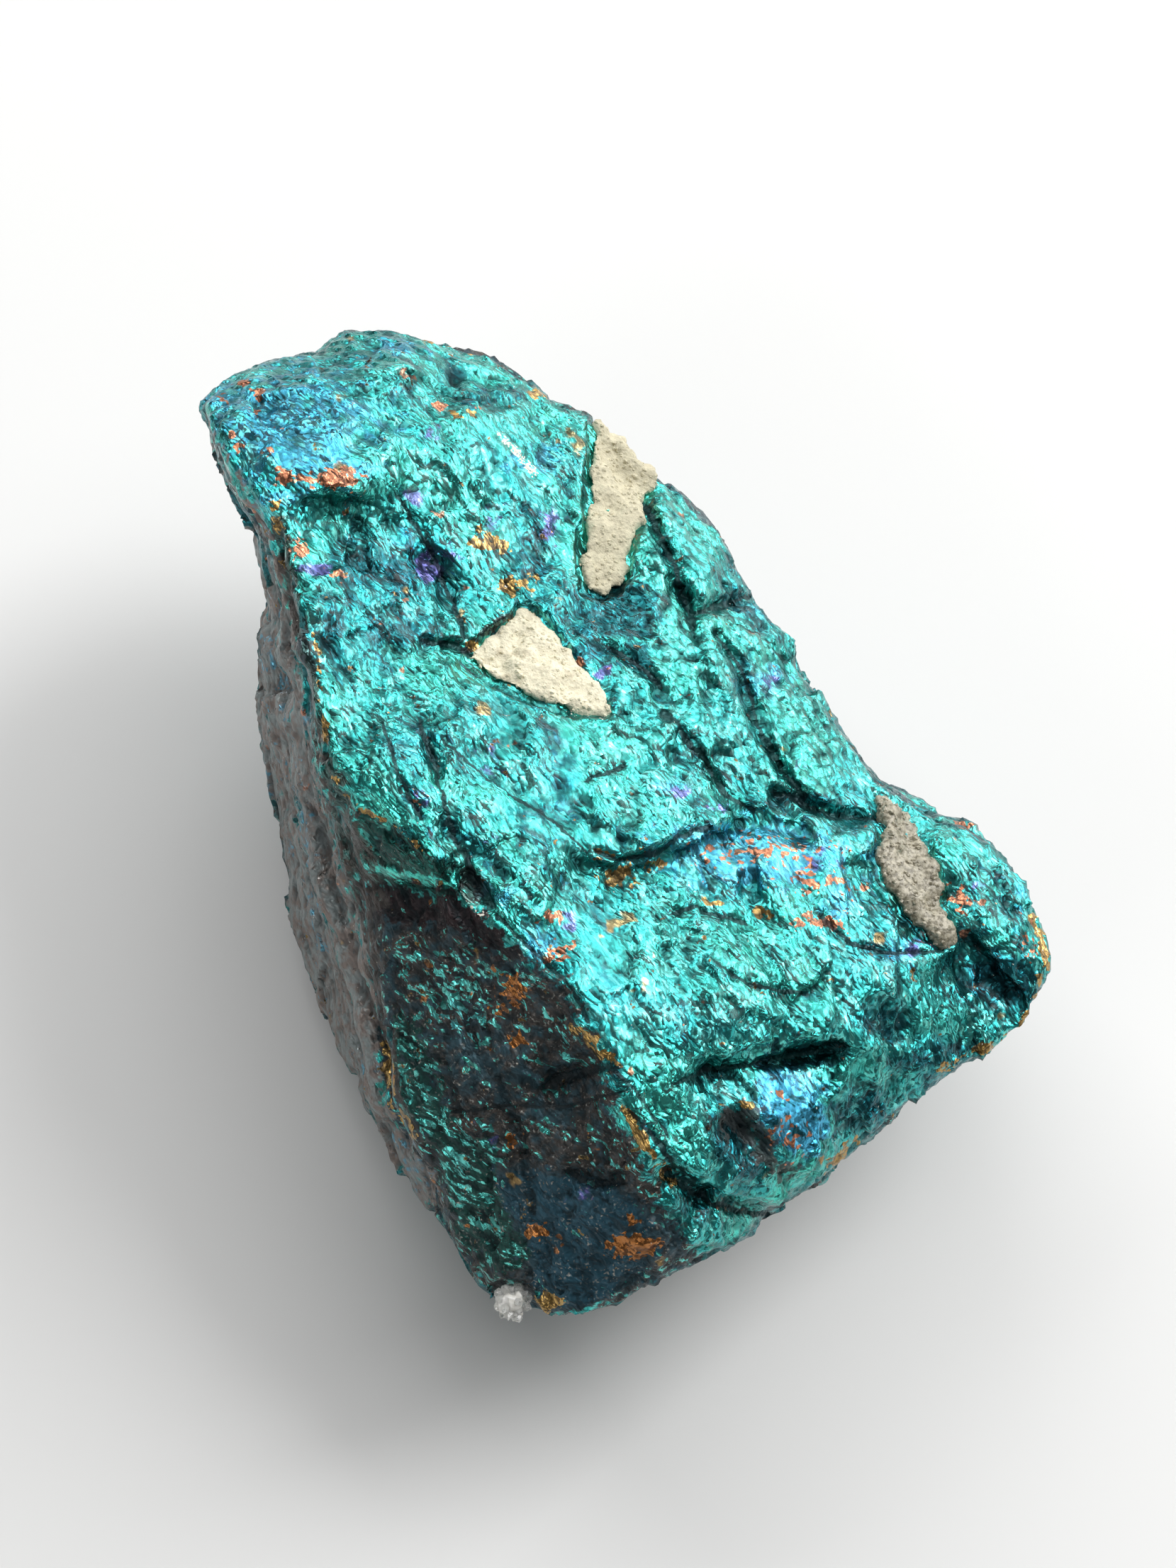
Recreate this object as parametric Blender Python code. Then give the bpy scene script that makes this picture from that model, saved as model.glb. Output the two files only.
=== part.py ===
"""Peacock ore: one broken lump of tarnished copper ore, with pale gangue and quartz in its hollows.

The stone lies on a small worn flat. Its landmarks are sighted: each one is a pixel of the photograph
and its real height above the table in millimetres, and sight() turns the two into a place in space.
The frame is in metres, +Z up, with the origin under the middle of the stone's box.
"""

import math

import bmesh
import bpy
import numpy as np
from mathutils import Matrix, Vector, noise
from mathutils.bvhtree import BVHTree
from mathutils.geometry import delaunay_2d_cdt

MM = 0.001

# Driving dimensions. The stone's left corner and its right-hand end are 48.3 mm apart, which is
# 1450 pixels, seen by an eye that looks down at it along +Y from 240 mm away.
SIGHTED_LENGTH = 48.3 * MM
SIGHTED_PIXELS = 1450
EYE_DISTANCE = 240 * MM
EYE_ELEVATION = math.radians(65)
FACE_DEPTH = 20 * MM
SIGHT_CENTRE = (829.5, 1106)

# The stone is carried back below the table, chipped to shape, and cut off level where it rests.
REST_LEVEL = 0.0
ROOT_LEVEL = -5 * MM
SEEN_CLEARANCE = 0.3 * MM
GRAIN_GRID = 0.5 * MM
ORE_TRIANGLES = 9000

# The ore's grain runs down the face to the right; its bedding shows as ledges on the broken sides.
GRAIN_DIRECTION = Vector((0.55, -0.80, -0.24)).normalized()
BEDDING = Vector((0.30, -0.25, 0.92)).normalized()

# The pale minerals sit in pockets of the ore, with a gap all round and their faces a little sunk.
POCKET_DEPTH = 3.0 * MM
POCKET_GAP = 0.4 * MM
PALE_SINK = 0.35 * MM
FACE_SWELL = 0.9 * MM
CUTTER_RISE = 3.0 * MM
PATCH_GRID = 24

RIGHT = Vector((1, 0, 0))
UP = Vector((0, math.sin(EYE_ELEVATION), math.cos(EYE_ELEVATION)))
TOWARD_EYE = Vector((0, -math.cos(EYE_ELEVATION), math.sin(EYE_ELEVATION)))
EYE = TOWARD_EYE * EYE_DISTANCE
PIXELS_PER_RADIAN = SIGHTED_PIXELS / SIGHTED_LENGTH * (EYE_DISTANCE - FACE_DEPTH)

# The outline seen by that eye, clockwise from the left corner: pixel across, pixel down, height in mm.
OUTLINE = [
    (281, 572, 23.5), (298, 555, 23.1), (322, 532, 22.5), (345, 524, 22.0), (372, 513, 21.4),
    (405, 505, 20.8), (438, 500, 20.2), (460, 497, 19.8), (470, 483, 19.6), (495, 468, 19.2),
    (520, 465, 19.0), (556, 466, 18.7), (600, 468, 18.4), (628, 478, 18.2), (650, 496, 18.1),
    (680, 499, 17.9), (720, 526, 17.6), (750, 548, 17.4), (778, 571, 17.2), (830, 585, 16.8),
    (838, 598, 16.6), (865, 632, 16.2), (890, 655, 15.8), (912, 670, 15.4), (950, 672, 14.9),
    (970, 695, 14.6), (1000, 730, 14.2), (1020, 755, 14.0), (1033, 780, 13.8), (1034, 800, 13.7),
    (1050, 818, 13.6), (1062, 845, 13.5), (1075, 873, 13.4), (1110, 895, 13.2), (1123, 912, 13.1),
    (1118, 940, 13.0), (1155, 980, 12.9), (1182, 1032, 12.9), (1203, 1055, 12.9), (1228, 1099, 12.9),
    (1265, 1115, 12.9), (1285, 1130, 12.8), (1326, 1152, 12.8), (1360, 1162, 12.7), (1395, 1190, 12.6),
    (1420, 1220, 12.5), (1441, 1250, 12.5), (1458, 1285, 12.3), (1471, 1318, 12.2), (1484, 1353, 12.0),
    (1467, 1395, 11.8), (1464, 1418, 11.8), (1452, 1438, 11.7), (1430, 1456, 11.6), (1396, 1479, 11.6),
    (1378, 1498, 11.7), (1352, 1510, 11.8), (1326, 1520, 11.9), (1300, 1532, 12.0), (1273, 1560, 12.1),
    (1250, 1583, 12.2), (1210, 1612, 12.4), (1180, 1640, 12.6), (1150, 1669, 12.8), (1120, 1679, 13.0),
    (1105, 1700, 13.0), (1066, 1718, 13.1), (1060, 1738, 13.2), (1032, 1760, 13.2), (1000, 1773, 13.2),
    (950, 1795, 13.0), (905, 1812, 12.8), (880, 1829, 12.6), (850, 1846, 12.3), (820, 1859, 12.0),
    (790, 1858, 11.5), (750, 1852, 10.8), (705, 1848, 10.3), (690, 1835, 10.0), (672, 1812, 9.4),
    (650, 1780, 8.6), (632, 1750, 7.6), (620, 1722, 6.8), (602, 1702, 6.0), (580, 1675, 5.4),
    (560, 1645, 5.0), (540, 1592, 4.4), (514, 1553, 4.0), (496, 1516, 3.6), (470, 1484, 3.2),
    (455, 1445, 3.0), (443, 1420, 2.9), (440, 1392, 2.7), (428, 1360, 2.6), (410, 1320, 2.6),
    (402, 1260, 2.8), (398, 1200, 3.2), (396, 1150, 3.8), (386, 1100, 4.5), (376, 1050, 5.2),
    (369, 1010, 5.8), (370, 960, 6.5), (364, 915, 7.3), (367, 880, 8.0), (382, 850, 9.0),
    (378, 820, 9.5), (372, 790, 10.5), (365, 750, 12.0), (355, 725, 13.5), (335, 690, 16.0),
    (318, 665, 18.0), (300, 625, 20.5), (290, 600, 22.0),
]

# Sharp crests and ledge edges that the coarse faces fold along.
CRESTS = {
    "left crest": [
        (300, 598, 24.0), (320, 645, 24.2), (345, 690, 24.4), (385, 730, 24.6), (400, 790, 24.6),
        (415, 850, 24.7), (425, 900, 24.7), (437, 960, 24.7), (447, 1010, 24.6), (457, 1050, 24.5),
        (461, 1090, 24.3), (475, 1130, 23.0), (490, 1180, 21.5), (510, 1230, 20.5), (530, 1290, 19.6),
        (532, 1350, 18.6), (545, 1420, 17.5), (552, 1480, 16.6), (550, 1550, 15.4), (590, 1610, 14.8),
        (620, 1650, 14.2), (632, 1715, 12.6), (652, 1765, 11.0),
    ],
    "front crest": [
        (515, 1145, 24.0), (560, 1160, 24.0), (600, 1200, 23.9), (640, 1230, 23.5), (660, 1270, 23.1),
        (700, 1300, 22.9), (740, 1340, 22.6), (790, 1370, 22.3), (815, 1400, 22.0), (835, 1440, 21.6),
        (850, 1470, 21.3), (865, 1500, 20.9), (880, 1530, 20.5), (890, 1580, 19.9), (910, 1620, 19.3),
        (930, 1660, 18.7), (960, 1700, 17.6), (985, 1745, 15.4),
    ],
    "slab foot": [
        (935, 1005, 19.2), (975, 1050, 18.9), (1000, 1080, 18.7), (1025, 1115, 18.5),
        (1060, 1145, 18.1), (1110, 1156, 17.3), (1170, 1160, 16.2),
    ],
}

# Other heights on the face: a landmark in the middle of each smaller facet, hollow or swell.
FACE_HEIGHTS = [
    (340, 600, 24.2), (400, 560, 23.6), (470, 540, 22.8), (560, 520, 21.6), (640, 545, 20.4),
    (700, 585, 20.0), (400, 640, 24.9), (450, 690, 25.0), (500, 680, 24.4), (540, 640, 23.5),
    (600, 620, 22.3), (430, 735, 24.3), (500, 730, 23.0), (560, 720, 22.2), (450, 800, 23.9),
    (520, 800, 22.4), (600, 780, 21.2), (680, 740, 20.4), (760, 680, 19.2), (810, 640, 18.2),
    (480, 900, 23.8), (560, 900, 22.3), (620, 880, 21.2), (560, 985, 22.9), (500, 1000, 24.1),
    (700, 820, 20.0), (760, 800, 19.3), (815, 760, 18.4), (800, 850, 19.0), (860, 720, 17.4),
    (850, 820, 18.0), (700, 930, 20.6), (750, 950, 20.4), (810, 985, 20.2), (740, 890, 20.2),
    (850, 950, 19.4), (930, 720, 17.2), (900, 800, 18.4), (960, 800, 17.4), (1000, 780, 16.0),
    (1000, 860, 16.8), (940, 900, 18.6), (1000, 940, 17.9), (1060, 900, 15.6), (1080, 960, 15.5),
    (1000, 1020, 18.3), (1060, 1020, 17.0), (1120, 1010, 15.2), (1150, 1060, 15.2), (1180, 1100, 15.0),
    (1100, 1090, 16.6), (620, 1000, 23.0), (680, 1000, 22.2), (760, 1040, 21.5), (850, 1040, 20.5),
    (900, 1100, 20.3), (850, 1150, 21.0), (780, 1120, 21.5), (700, 1080, 22.5), (640, 1080, 23.2),
    (820, 1190, 21.2), (870, 1205, 21.0), (930, 1190, 20.4), (560, 1080, 24.5), (510, 1090, 24.6),
    (600, 1140, 24.1), (690, 1180, 23.2), (740, 1230, 22.9), (790, 1280, 22.5), (820, 1330, 22.2),
    (1000, 1200, 19.4), (1080, 1190, 18.4), (1160, 1200, 17.0), (1190, 1240, 16.5), (1080, 1260, 18.4),
    (1000, 1280, 19.4), (900, 1320, 21.0), (1000, 1360, 19.7), (1100, 1340, 18.3), (1200, 1320, 16.6),
    (1270, 1350, 15.6), (900, 1430, 20.7), (1000, 1440, 19.7), (1100, 1430, 18.4), (1180, 1440, 17.0),
    (1260, 1440, 15.2), (1330, 1420, 14.0), (1240, 1160, 15.3), (1280, 1220, 14.8), (1310, 1290, 14.4),
    (1340, 1190, 14.2), (1390, 1240, 14.0), (1430, 1300, 13.5), (1360, 1290, 14.4), (1420, 1360, 13.2),
    (1350, 1370, 13.8), (1400, 1420, 12.6), (900, 1520, 20.3), (950, 1560, 19.4), (1000, 1560, 18.5),
    (1060, 1580, 17.2), (1120, 1560, 16.1), (1200, 1530, 14.8), (1270, 1500, 13.8), (1330, 1470, 13.0),
    (1150, 1630, 14.2), (1060, 1650, 16.2), (1000, 1640, 17.6), (950, 1630, 18.6), (940, 1770, 14.6),
    (560, 1215, 22.2), (620, 1245, 22.6), (590, 1300, 20.9), (680, 1345, 21.0), (640, 1400, 19.5),
    (720, 1420, 20.3), (780, 1450, 20.6), (600, 1480, 17.9), (700, 1520, 18.6), (800, 1500, 19.7),
    (800, 1560, 18.3), (860, 1590, 18.6), (620, 1580, 16.2), (700, 1620, 16.4), (780, 1650, 16.6),
    (850, 1660, 16.9), (900, 1710, 16.6), (670, 1700, 14.0), (720, 1760, 13.4), (800, 1760, 14.2),
    (880, 1780, 14.4), (700, 1810, 11.8), (760, 1820, 12.4), (405, 870, 14.5), (412, 960, 15.5),
    (418, 1060, 14.5), (435, 1160, 13.5), (458, 1260, 11.5), (478, 1340, 10.2), (500, 1420, 9.2),
    (525, 1500, 8.6), (560, 1585, 8.6), (598, 1655, 8.8), (385, 790, 17.5), (362, 710, 20.5),
]

# Broken facets of the hidden side: the way each one faces round the stone (degrees from +X), how far
# it leans under (degrees below level), and how far out from the rest it would meet the table (mm).
REST_CENTRE = Vector((-1.5 * MM, -7.0 * MM, 0))
HIDDEN_FACETS = [
    (-45, 36, 14.0), (-72, 44, 12.5), (-20, 50, 10.0), (-100, 58, 9.5), (-133, 56, 8.5), (-160, 58, 9.0),
    (178, 60, 9.0), (176, 14, 15.5), (150, 34, 14.0), (146, 56, 10.0), (112, -6, 26.5), (84, 8, 19.5),
    (52, -8, 18.0), (36, 20, 13.5), (8, 28, 14.5), (98, 46, 11.0), (66, 48, 9.5), (20, 54, 8.5),
]

# Ledges of the face: a lip whose ground on its right-hand side drops by so many mm, and climbs back
# over so many mm. Each lip is a row of pixels.
LIP_WIDTH = 0.6
LEDGES = [
    ("tongue lip", 1.5, 6.0, [(790, 1180), (830, 1212), (860, 1222), (905, 1215), (940, 1200), (985, 1190),
                              (1035, 1160), (1075, 1148)]),
    ("lower lip", 1.6, 3.2, [(960, 1519), (1000, 1504), (1060, 1489), (1120, 1474), (1180, 1468), (1212, 1480)]),
    ("scallop", 1.7, 3.5, [(925, 1620), (960, 1652), (1000, 1685), (1050, 1700), (1110, 1697)]),
    ("upper step", 0.6, 4.0, [(395, 722), (450, 702), (520, 700), (575, 690)]),
    ("slab foot", 0.9, 3.0, [(930, 1010), (975, 1050), (1000, 1080), (1025, 1115), (1060, 1145),
                             (1110, 1158), (1180, 1168)]),
    ("tongue left edge", 0.45, 2.2, [(835, 1212), (790, 1165), (740, 1130), (700, 1105), (665, 1075), (625, 1045)]),
    ("dark facet curve", 0.8, 3.0, [(750, 1540), (790, 1510), (830, 1490), (858, 1500)]),
    ("crest notch", 0.9, 3.5, [(500, 1225), (545, 1240), (600, 1255), (655, 1268)]),
    ("lobe hollow", 1.1, 4.5, [(1350, 1305), (1385, 1330), (1410, 1380), (1440, 1400), (1465, 1405)]),
    ("pale pocket brow", 0.6, 2.5, [(650, 920), (690, 905), (722, 880), (740, 858), (770, 880), (800, 915)]),
]

# Cracks and small pits of the face: half width and depth in mm, and a row of pixels.
CRACKS = [
    ("slab crack", 0.40, 1.3, [(905, 700), (925, 745), (950, 800), (972, 852)]),
    ("slab notch", 0.40, 1.1, [(975, 872), (1010, 855), (1040, 848), (1070, 835)]),
    ("long crack", 0.35, 1.0, [(1010, 890), (1045, 945), (1062, 990), (1075, 1035), (1105, 1090), (1135, 1122)]),
    ("slab gap", 0.60, 1.3, [(1100, 1118), (1140, 1140), (1180, 1152), (1240, 1153)]),
    ("pale pocket end", 0.35, 0.8, [(862, 912), (900, 940), (928, 962), (940, 1005)]),
    ("seam side", 0.35, 0.7, [(1195, 1200), (1240, 1250), (1275, 1295), (1320, 1345)]),
    ("brown pit", 0.95, 1.0, [(1020, 1565), (1050, 1600), (1080, 1645)]),
    ("green pit", 1.20, 0.8, [(1210, 1425), (1250, 1440), (1285, 1460)]),
    ("top hollow", 0.80, 0.9, [(610, 522), (660, 538), (705, 552)]),
    ("dark pit", 0.45, 0.7, [(795, 1655), (850, 1668), (900, 1655)]),
    ("crest rubble", 0.45, 0.8, [(640, 1215), (668, 1260), (690, 1290)]),
    ("pocket tail", 0.40, 0.7, [(600, 905), (640, 912), (665, 920)]),
    ("middle crack", 0.30, 0.6, [(592, 1015), (612, 1075), (632, 1150), (650, 1205)]),
    ("upper hollow", 0.90, 0.6, [(570, 790), (610, 800), (650, 850)]),
]

# Outlines of the pale minerals on the face, in pixels.
PALE_PATCHES = {
    "gangue_upper": [
        (842, 596), (837, 650), (833, 690), (828, 740), (826, 790), (828, 830), (850, 836), (868, 828),
        (886, 810), (888, 780), (893, 750), (905, 715), (919, 690), (922, 668), (898, 652), (872, 624),
    ],
    "gangue_middle": [
        (740, 862), (760, 880), (790, 903), (802, 928), (820, 950), (838, 975), (852, 1005), (820, 1003),
        (790, 993), (750, 980), (700, 957), (662, 928), (675, 908), (702, 899), (728, 880),
    ],
    "quartz_seam": [
        (1232, 1120), (1262, 1132), (1284, 1150), (1292, 1170), (1306, 1190), (1316, 1220), (1323, 1255),
        (1328, 1290), (1342, 1325), (1325, 1326), (1300, 1303), (1280, 1288), (1268, 1262), (1245, 1235),
        (1236, 1205), (1250, 1188), (1250, 1150),
    ],
}

# Clear quartz points at the lowest tip: where each one stands, its length in mm, and how far it leans
# to the right and up the photograph. They stand in a notch of the outline.
QUARTZ_WIDTH = 0.75 * MM
QUARTZ_POINTS = [
    ((713, 1822), 2.0, (-0.45, -0.70)), ((729, 1820), 2.3, (0.00, -0.60)), ((722, 1832), 2.0, (-0.15, -1.10)),
    ((741, 1826), 2.1, (0.30, -0.75)), ((708, 1832), 1.6, (-0.80, -0.90)), ((735, 1834), 1.7, (0.20, -1.30)),
]
TIP_NOTCH = [(701, 1820), (716, 1812), (738, 1812), (752, 1822), (756, 1838), (754, 1856), (728, 1860), (700, 1856)]
TIP_DEPTH = 1.3 * MM


def sight(across, down, height):
    """The place that the eye sees at a pixel of the photograph, at a height above the table in metres."""
    right = (across - SIGHT_CENTRE[0]) / PIXELS_PER_RADIAN
    rise = (SIGHT_CENTRE[1] - down) / PIXELS_PER_RADIAN
    ray = RIGHT * right + UP * rise - TOWARD_EYE
    return EYE + ray * ((height - EYE.z) / ray.z)


def pixels_of(places):
    """The pixels where the eye sees an array of places."""
    rays = places - np.array(EYE)
    depth = -rays @ np.array(TOWARD_EYE)
    across = SIGHT_CENTRE[0] + PIXELS_PER_RADIAN * (rays @ np.array(RIGHT)) / depth
    down = SIGHT_CENTRE[1] - PIXELS_PER_RADIAN * (rays @ np.array(UP)) / depth
    return np.stack((across, down), axis=1)


def new_object(name, mesh):
    obj = bpy.data.objects.new(name, mesh)
    bpy.context.scene.collection.objects.link(obj)
    return obj


def settled(obj):
    """The object's mesh with its modifiers worked in."""
    graph = bpy.context.evaluated_depsgraph_get()
    mesh = bpy.data.meshes.new_from_object(obj.evaluated_get(graph))
    obj.modifiers.clear()
    return mesh


def sighted_solid(pixels, edges, place_pair):
    """A closed solid over an outlined patch of the photograph, between two places on each line of sight."""
    flat = [Vector(pixel) for pixel in pixels]
    points, _, faces, sources, _, _ = delaunay_2d_cdt(flat, edges, [], 1, 1e-6)
    bm = bmesh.new()
    near, far = [], []
    for source in sources:
        near_place, far_place = place_pair(source[0])
        near.append(bm.verts.new(near_place))
        far.append(bm.verts.new(far_place))
    for face in faces:
        bm.faces.new([near[i] for i in face])
        bm.faces.new([far[i] for i in reversed(face)])
    index = {vert: i for i, vert in enumerate(near)}
    rim = [edge for edge in bm.edges if edge.is_boundary and edge.verts[0] in index]
    for edge in rim:
        a, b = (index[vert] for vert in edge.verts)
        bm.faces.new([near[a], near[b], far[b], far[a]])
    bmesh.ops.recalc_face_normals(bm, faces=bm.faces)
    bmesh.ops.triangulate(bm, faces=bm.faces)
    return bm


def sighted_block():
    """The face folded along its crests, carried back along the lines of sight to the root level."""
    marks = list(OUTLINE)
    edges = [(i, (i + 1) % len(OUTLINE)) for i in range(len(OUTLINE))]
    for crest in CRESTS.values():
        edges += [(len(marks) + i, len(marks) + i + 1) for i in range(len(crest) - 1)]
        marks += crest
    marks += FACE_HEIGHTS
    seen = [sight(across, down, height * MM) for across, down, height in marks]
    roots = [sight(across, down, ROOT_LEVEL) for across, down, _ in marks]
    pixels = [(across, down) for across, down, _ in marks]
    bm = sighted_solid(pixels, edges, lambda i: (seen[i], roots[i]))
    return bm, seen


def cut_away(bm, place, normal):
    """Cut off what lies beyond a plane, and close the cut."""
    parts = list(bm.verts) + list(bm.edges) + list(bm.faces)
    cut = bmesh.ops.bisect_plane(bm, geom=parts, plane_co=place, plane_no=normal, clear_outer=True, dist=1e-6)
    rim = [part for part in cut["geom_cut"] if isinstance(part, bmesh.types.BMEdge)]
    if not rim:
        return
    filled = bmesh.ops.edgeloop_fill(bm, edges=rim)
    bmesh.ops.triangulate(bm, faces=filled["faces"])


def break_hidden_side(bm, seen):
    """Cut the broken facets, each one moved out where it would bite into the seen face."""
    for heading, lean, reach in HIDDEN_FACETS:
        turn, dip = math.radians(heading), math.radians(lean)
        outward = Vector((math.cos(turn), math.sin(turn), 0))
        normal = outward * math.cos(dip) - Vector((0, 0, math.sin(dip)))
        wanted = normal.dot(REST_CENTRE + outward * reach * MM)
        allowed = max(normal.dot(place) for place in seen) + SEEN_CLEARANCE
        cut_away(bm, normal * max(wanted, allowed), normal)


def path_measure(pixels, path):
    """Distance from a row of pixels, which side of it each point is on, and how far along it lies (0 to 1)."""
    path = np.array(path, float)
    starts, steps = path[:-1], path[1:] - path[:-1]
    lengths = np.linalg.norm(steps, axis=1)
    before = np.concatenate(([0], np.cumsum(lengths)[:-1]))
    offset = pixels[:, None, :] - starts
    along = np.clip((offset * steps).sum(2) / lengths**2, 0, 1)
    gap = offset - along[..., None] * steps
    distance = np.linalg.norm(gap, axis=2)
    near = distance.argmin(1)
    rows = np.arange(len(pixels))
    side = steps[near, 0] * offset[rows, near, 1] - steps[near, 1] * offset[rows, near, 0]
    travel = (before[near] + along[rows, near] * lengths[near]) / lengths.sum()
    return distance[rows, near], side, travel


def eased(value):
    value = np.clip(value, 0, 1)
    return value * value * (3 - 2 * value)


def carve_face(places, normals):
    """How far each place is pushed away from the eye by the ledges, cracks and pits of the face."""
    pixels = pixels_of(places)
    facing = eased(4 * (normals @ np.array(TOWARD_EYE)))
    scale = SIGHTED_PIXELS / (SIGHTED_LENGTH / MM)
    depth = np.zeros(len(places))
    for _, drop, run, lip in LEDGES:
        distance, side, travel = path_measure(pixels, lip)
        ends = eased(5 * travel) * eased(5 * (1 - travel))
        fall = np.clip(1 - distance / (run * scale), 0, 1)
        past_lip = eased(0.5 + np.sign(side) * distance / (LIP_WIDTH * scale))
        depth += drop * ends * fall * past_lip
    for _, half_width, deep, path in CRACKS:
        distance, _, travel = path_measure(pixels, path)
        ends = 0.35 + 0.65 * eased(4 * travel) * eased(4 * (1 - travel))
        depth = np.maximum(depth, deep * ends * eased(1.2 - distance / (half_width * scale)))
    return depth * facing * MM


def chipped(place, size):
    """Height of a broken surface: small flat chips of one size, each tipped its own way."""
    grain = Vector((place.dot(GRAIN_DIRECTION) * 0.7, 0, 0)) + (place - GRAIN_DIRECTION * place.dot(GRAIN_DIRECTION))
    spot = grain / size
    chip = noise.voronoi(spot)[1][0]
    tip = Vector([noise.noise(chip * 7.3 + Vector((31 * axis, 0, 0))) for axis in range(3)])
    return size * tip.dot(spot - chip)


def roughen(places, normals, outline_distance):
    """Broken relief along the surface: large chips, small chips and ledges that follow the ore's bedding."""
    seen = eased(3 * (normals @ np.array(TOWARD_EYE)))
    calm = 0.25 + 0.75 * eased(outline_distance / 45)
    relief = np.zeros(len(places))
    for i, row in enumerate(places):
        place = Vector(row)
        bedding = place.dot(BEDDING) / (4.1 * MM) + 1.1 * noise.noise(place / (11 * MM))
        ledge = eased(0.5 + 1.6 * noise.noise(place / (7 * MM)))
        step = 0.9 * MM * ledge * (bedding - math.floor(bedding) - 0.5)
        hidden = 1 - seen[i]
        swell = 0.8 * MM * noise.noise(place / (9 * MM)) + 0.30 * chipped(place, 9 * MM)
        relief[i] = (0.18 + 0.40 * hidden) * chipped(place, 4.2 * MM) + 0.26 * chipped(place, 1.6 * MM)
        relief[i] += hidden * (step + swell)
    return relief * calm


def vertex_rows(mesh, name):
    rows = np.empty(len(mesh.vertices) * 3)
    mesh.vertices.foreach_get(name, rows)
    return rows.reshape(-1, 3)


def weathered_ore():
    """The block with its hidden side broken away, its relief worked in, and its rest cut level."""
    bm, seen = sighted_block()
    break_hidden_side(bm, seen)
    block = bpy.data.meshes.new("ore block")
    bm.to_mesh(block)
    bm.free()
    obj = new_object("ore", block)
    grid = obj.modifiers.new("grain", "REMESH")
    grid.mode = "VOXEL"
    grid.voxel_size = GRAIN_GRID
    fine = settled(obj)
    places, normals = vertex_rows(fine, "co"), vertex_rows(fine, "normal")
    outline = [(across, down) for across, down, _ in OUTLINE]
    outline_distance = path_measure(pixels_of(places), outline + outline[:1])[0]
    moved = places - carve_face(places, normals)[:, None] * np.array(TOWARD_EYE)
    moved += roughen(places, normals, outline_distance)[:, None] * normals
    fine.vertices.foreach_set("co", moved.ravel())
    obj.data = fine
    thin = obj.modifiers.new("triangles", "DECIMATE")
    thin.ratio = ORE_TRIANGLES / (2 * len(fine.polygons))
    thin.use_collapse_triangulate = True
    coarse = settled(obj)
    bm = bmesh.new()
    bm.from_mesh(coarse)
    cut_away(bm, Vector((0, 0, REST_LEVEL)), Vector((0, 0, -1)))
    bmesh.ops.dissolve_degenerate(bm, dist=0.00002, edges=bm.edges)
    bmesh.ops.triangulate(bm, faces=bm.faces)
    bm.to_mesh(coarse)
    bm.free()
    obj.data = coarse
    return obj


def grown(outline, distance):
    """The outline moved outward by a distance in pixels."""
    middle = sum((Vector(pixel) for pixel in outline), Vector((0, 0))) / len(outline)
    turn = sum((Vector(a) - middle).cross(Vector(b) - middle) for a, b in zip(outline, outline[1:]))
    side = 1 if turn > 0 else -1
    wider = []
    for i, pixel in enumerate(outline):
        before = (Vector(pixel) - Vector(outline[i - 1])).normalized()
        after = (Vector(outline[(i + 1) % len(outline)]) - Vector(pixel)).normalized()
        outward = Vector((before.y + after.y, -before.x - after.x)).normalized() * side
        half_turn = max(0.5, outward.dot(Vector((before.y, -before.x)) * side))
        wider.append(Vector(pixel) + outward * distance / half_turn)
    return wider


def inside(pixel, outline):
    crossings = 0
    for a, b in zip(outline, outline[1:] + outline[:1]):
        if (a[1] > pixel[1]) != (b[1] > pixel[1]):
            crossings += pixel[0] < a[0] + (b[0] - a[0]) * (pixel[1] - a[1]) / (b[1] - a[1])
    return crossings % 2 == 1


def line_of_sight(pixel):
    return (sight(pixel[0], pixel[1], REST_LEVEL) - EYE).normalized()


def patch_pixels(outline):
    """The outline's corners, then a loose grid of pixels inside it."""
    outline = [Vector(pixel) for pixel in outline]
    core = grown(outline, -PATCH_GRID / 2)
    pixels = list(outline)
    for row in range(400, 1900, PATCH_GRID):
        for column in range(250, 1500, PATCH_GRID):
            pixel = Vector((column + 7 * math.sin(row), row + 7 * math.sin(column)))
            if inside(pixel, core):
                pixels.append(pixel)
    return pixels


def level_of(surface, outline):
    """The plane that best fits the ore's face inside an outline, as the eye's distance for each pixel."""
    rows, distances = [], []
    for pixel in patch_pixels(outline):
        distance = surface.ray_cast(EYE, line_of_sight(pixel))[3]
        if distance:
            rows.append((pixel.x, pixel.y, 1.0))
            distances.append(distance)
    slope = np.linalg.lstsq(np.array(rows), np.array(distances), rcond=None)[0]
    return lambda pixel: float(slope @ (pixel.x, pixel.y, 1.0))


def patch_solid(name, outline, near, far):
    """A solid inside an outline, between two distances from the eye that are given for each pixel."""
    pixels = patch_pixels(outline)
    edges = [(i, (i + 1) % len(outline)) for i in range(len(outline))]
    rays = [line_of_sight(pixel) for pixel in pixels]
    pairs = [(EYE + ray * near(pixel), EYE + ray * far(pixel)) for ray, pixel in zip(rays, pixels)]
    bm = sighted_solid(pixels, edges, lambda i: pairs[i])
    mesh = bpy.data.meshes.new(name)
    bm.to_mesh(mesh)
    bm.free()
    return new_object(name, mesh)


def cut_pocket(ore, name, outline, level, depth):
    """Cut a pocket in the ore along the lines of sight, wider than the outline by the gap."""
    wider = grown(outline, POCKET_GAP * SIGHTED_PIXELS / SIGHTED_LENGTH)
    cutter = patch_solid(name + " pocket", wider, lambda p: level(p) - CUTTER_RISE, lambda p: level(p) + depth)
    cutter.hide_render = True
    cutter.display_type = "WIRE"
    pocket = ore.modifiers.new(cutter.name, "BOOLEAN")
    pocket.operation = "DIFFERENCE"
    pocket.solver = "EXACT"
    pocket.object = cutter


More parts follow.
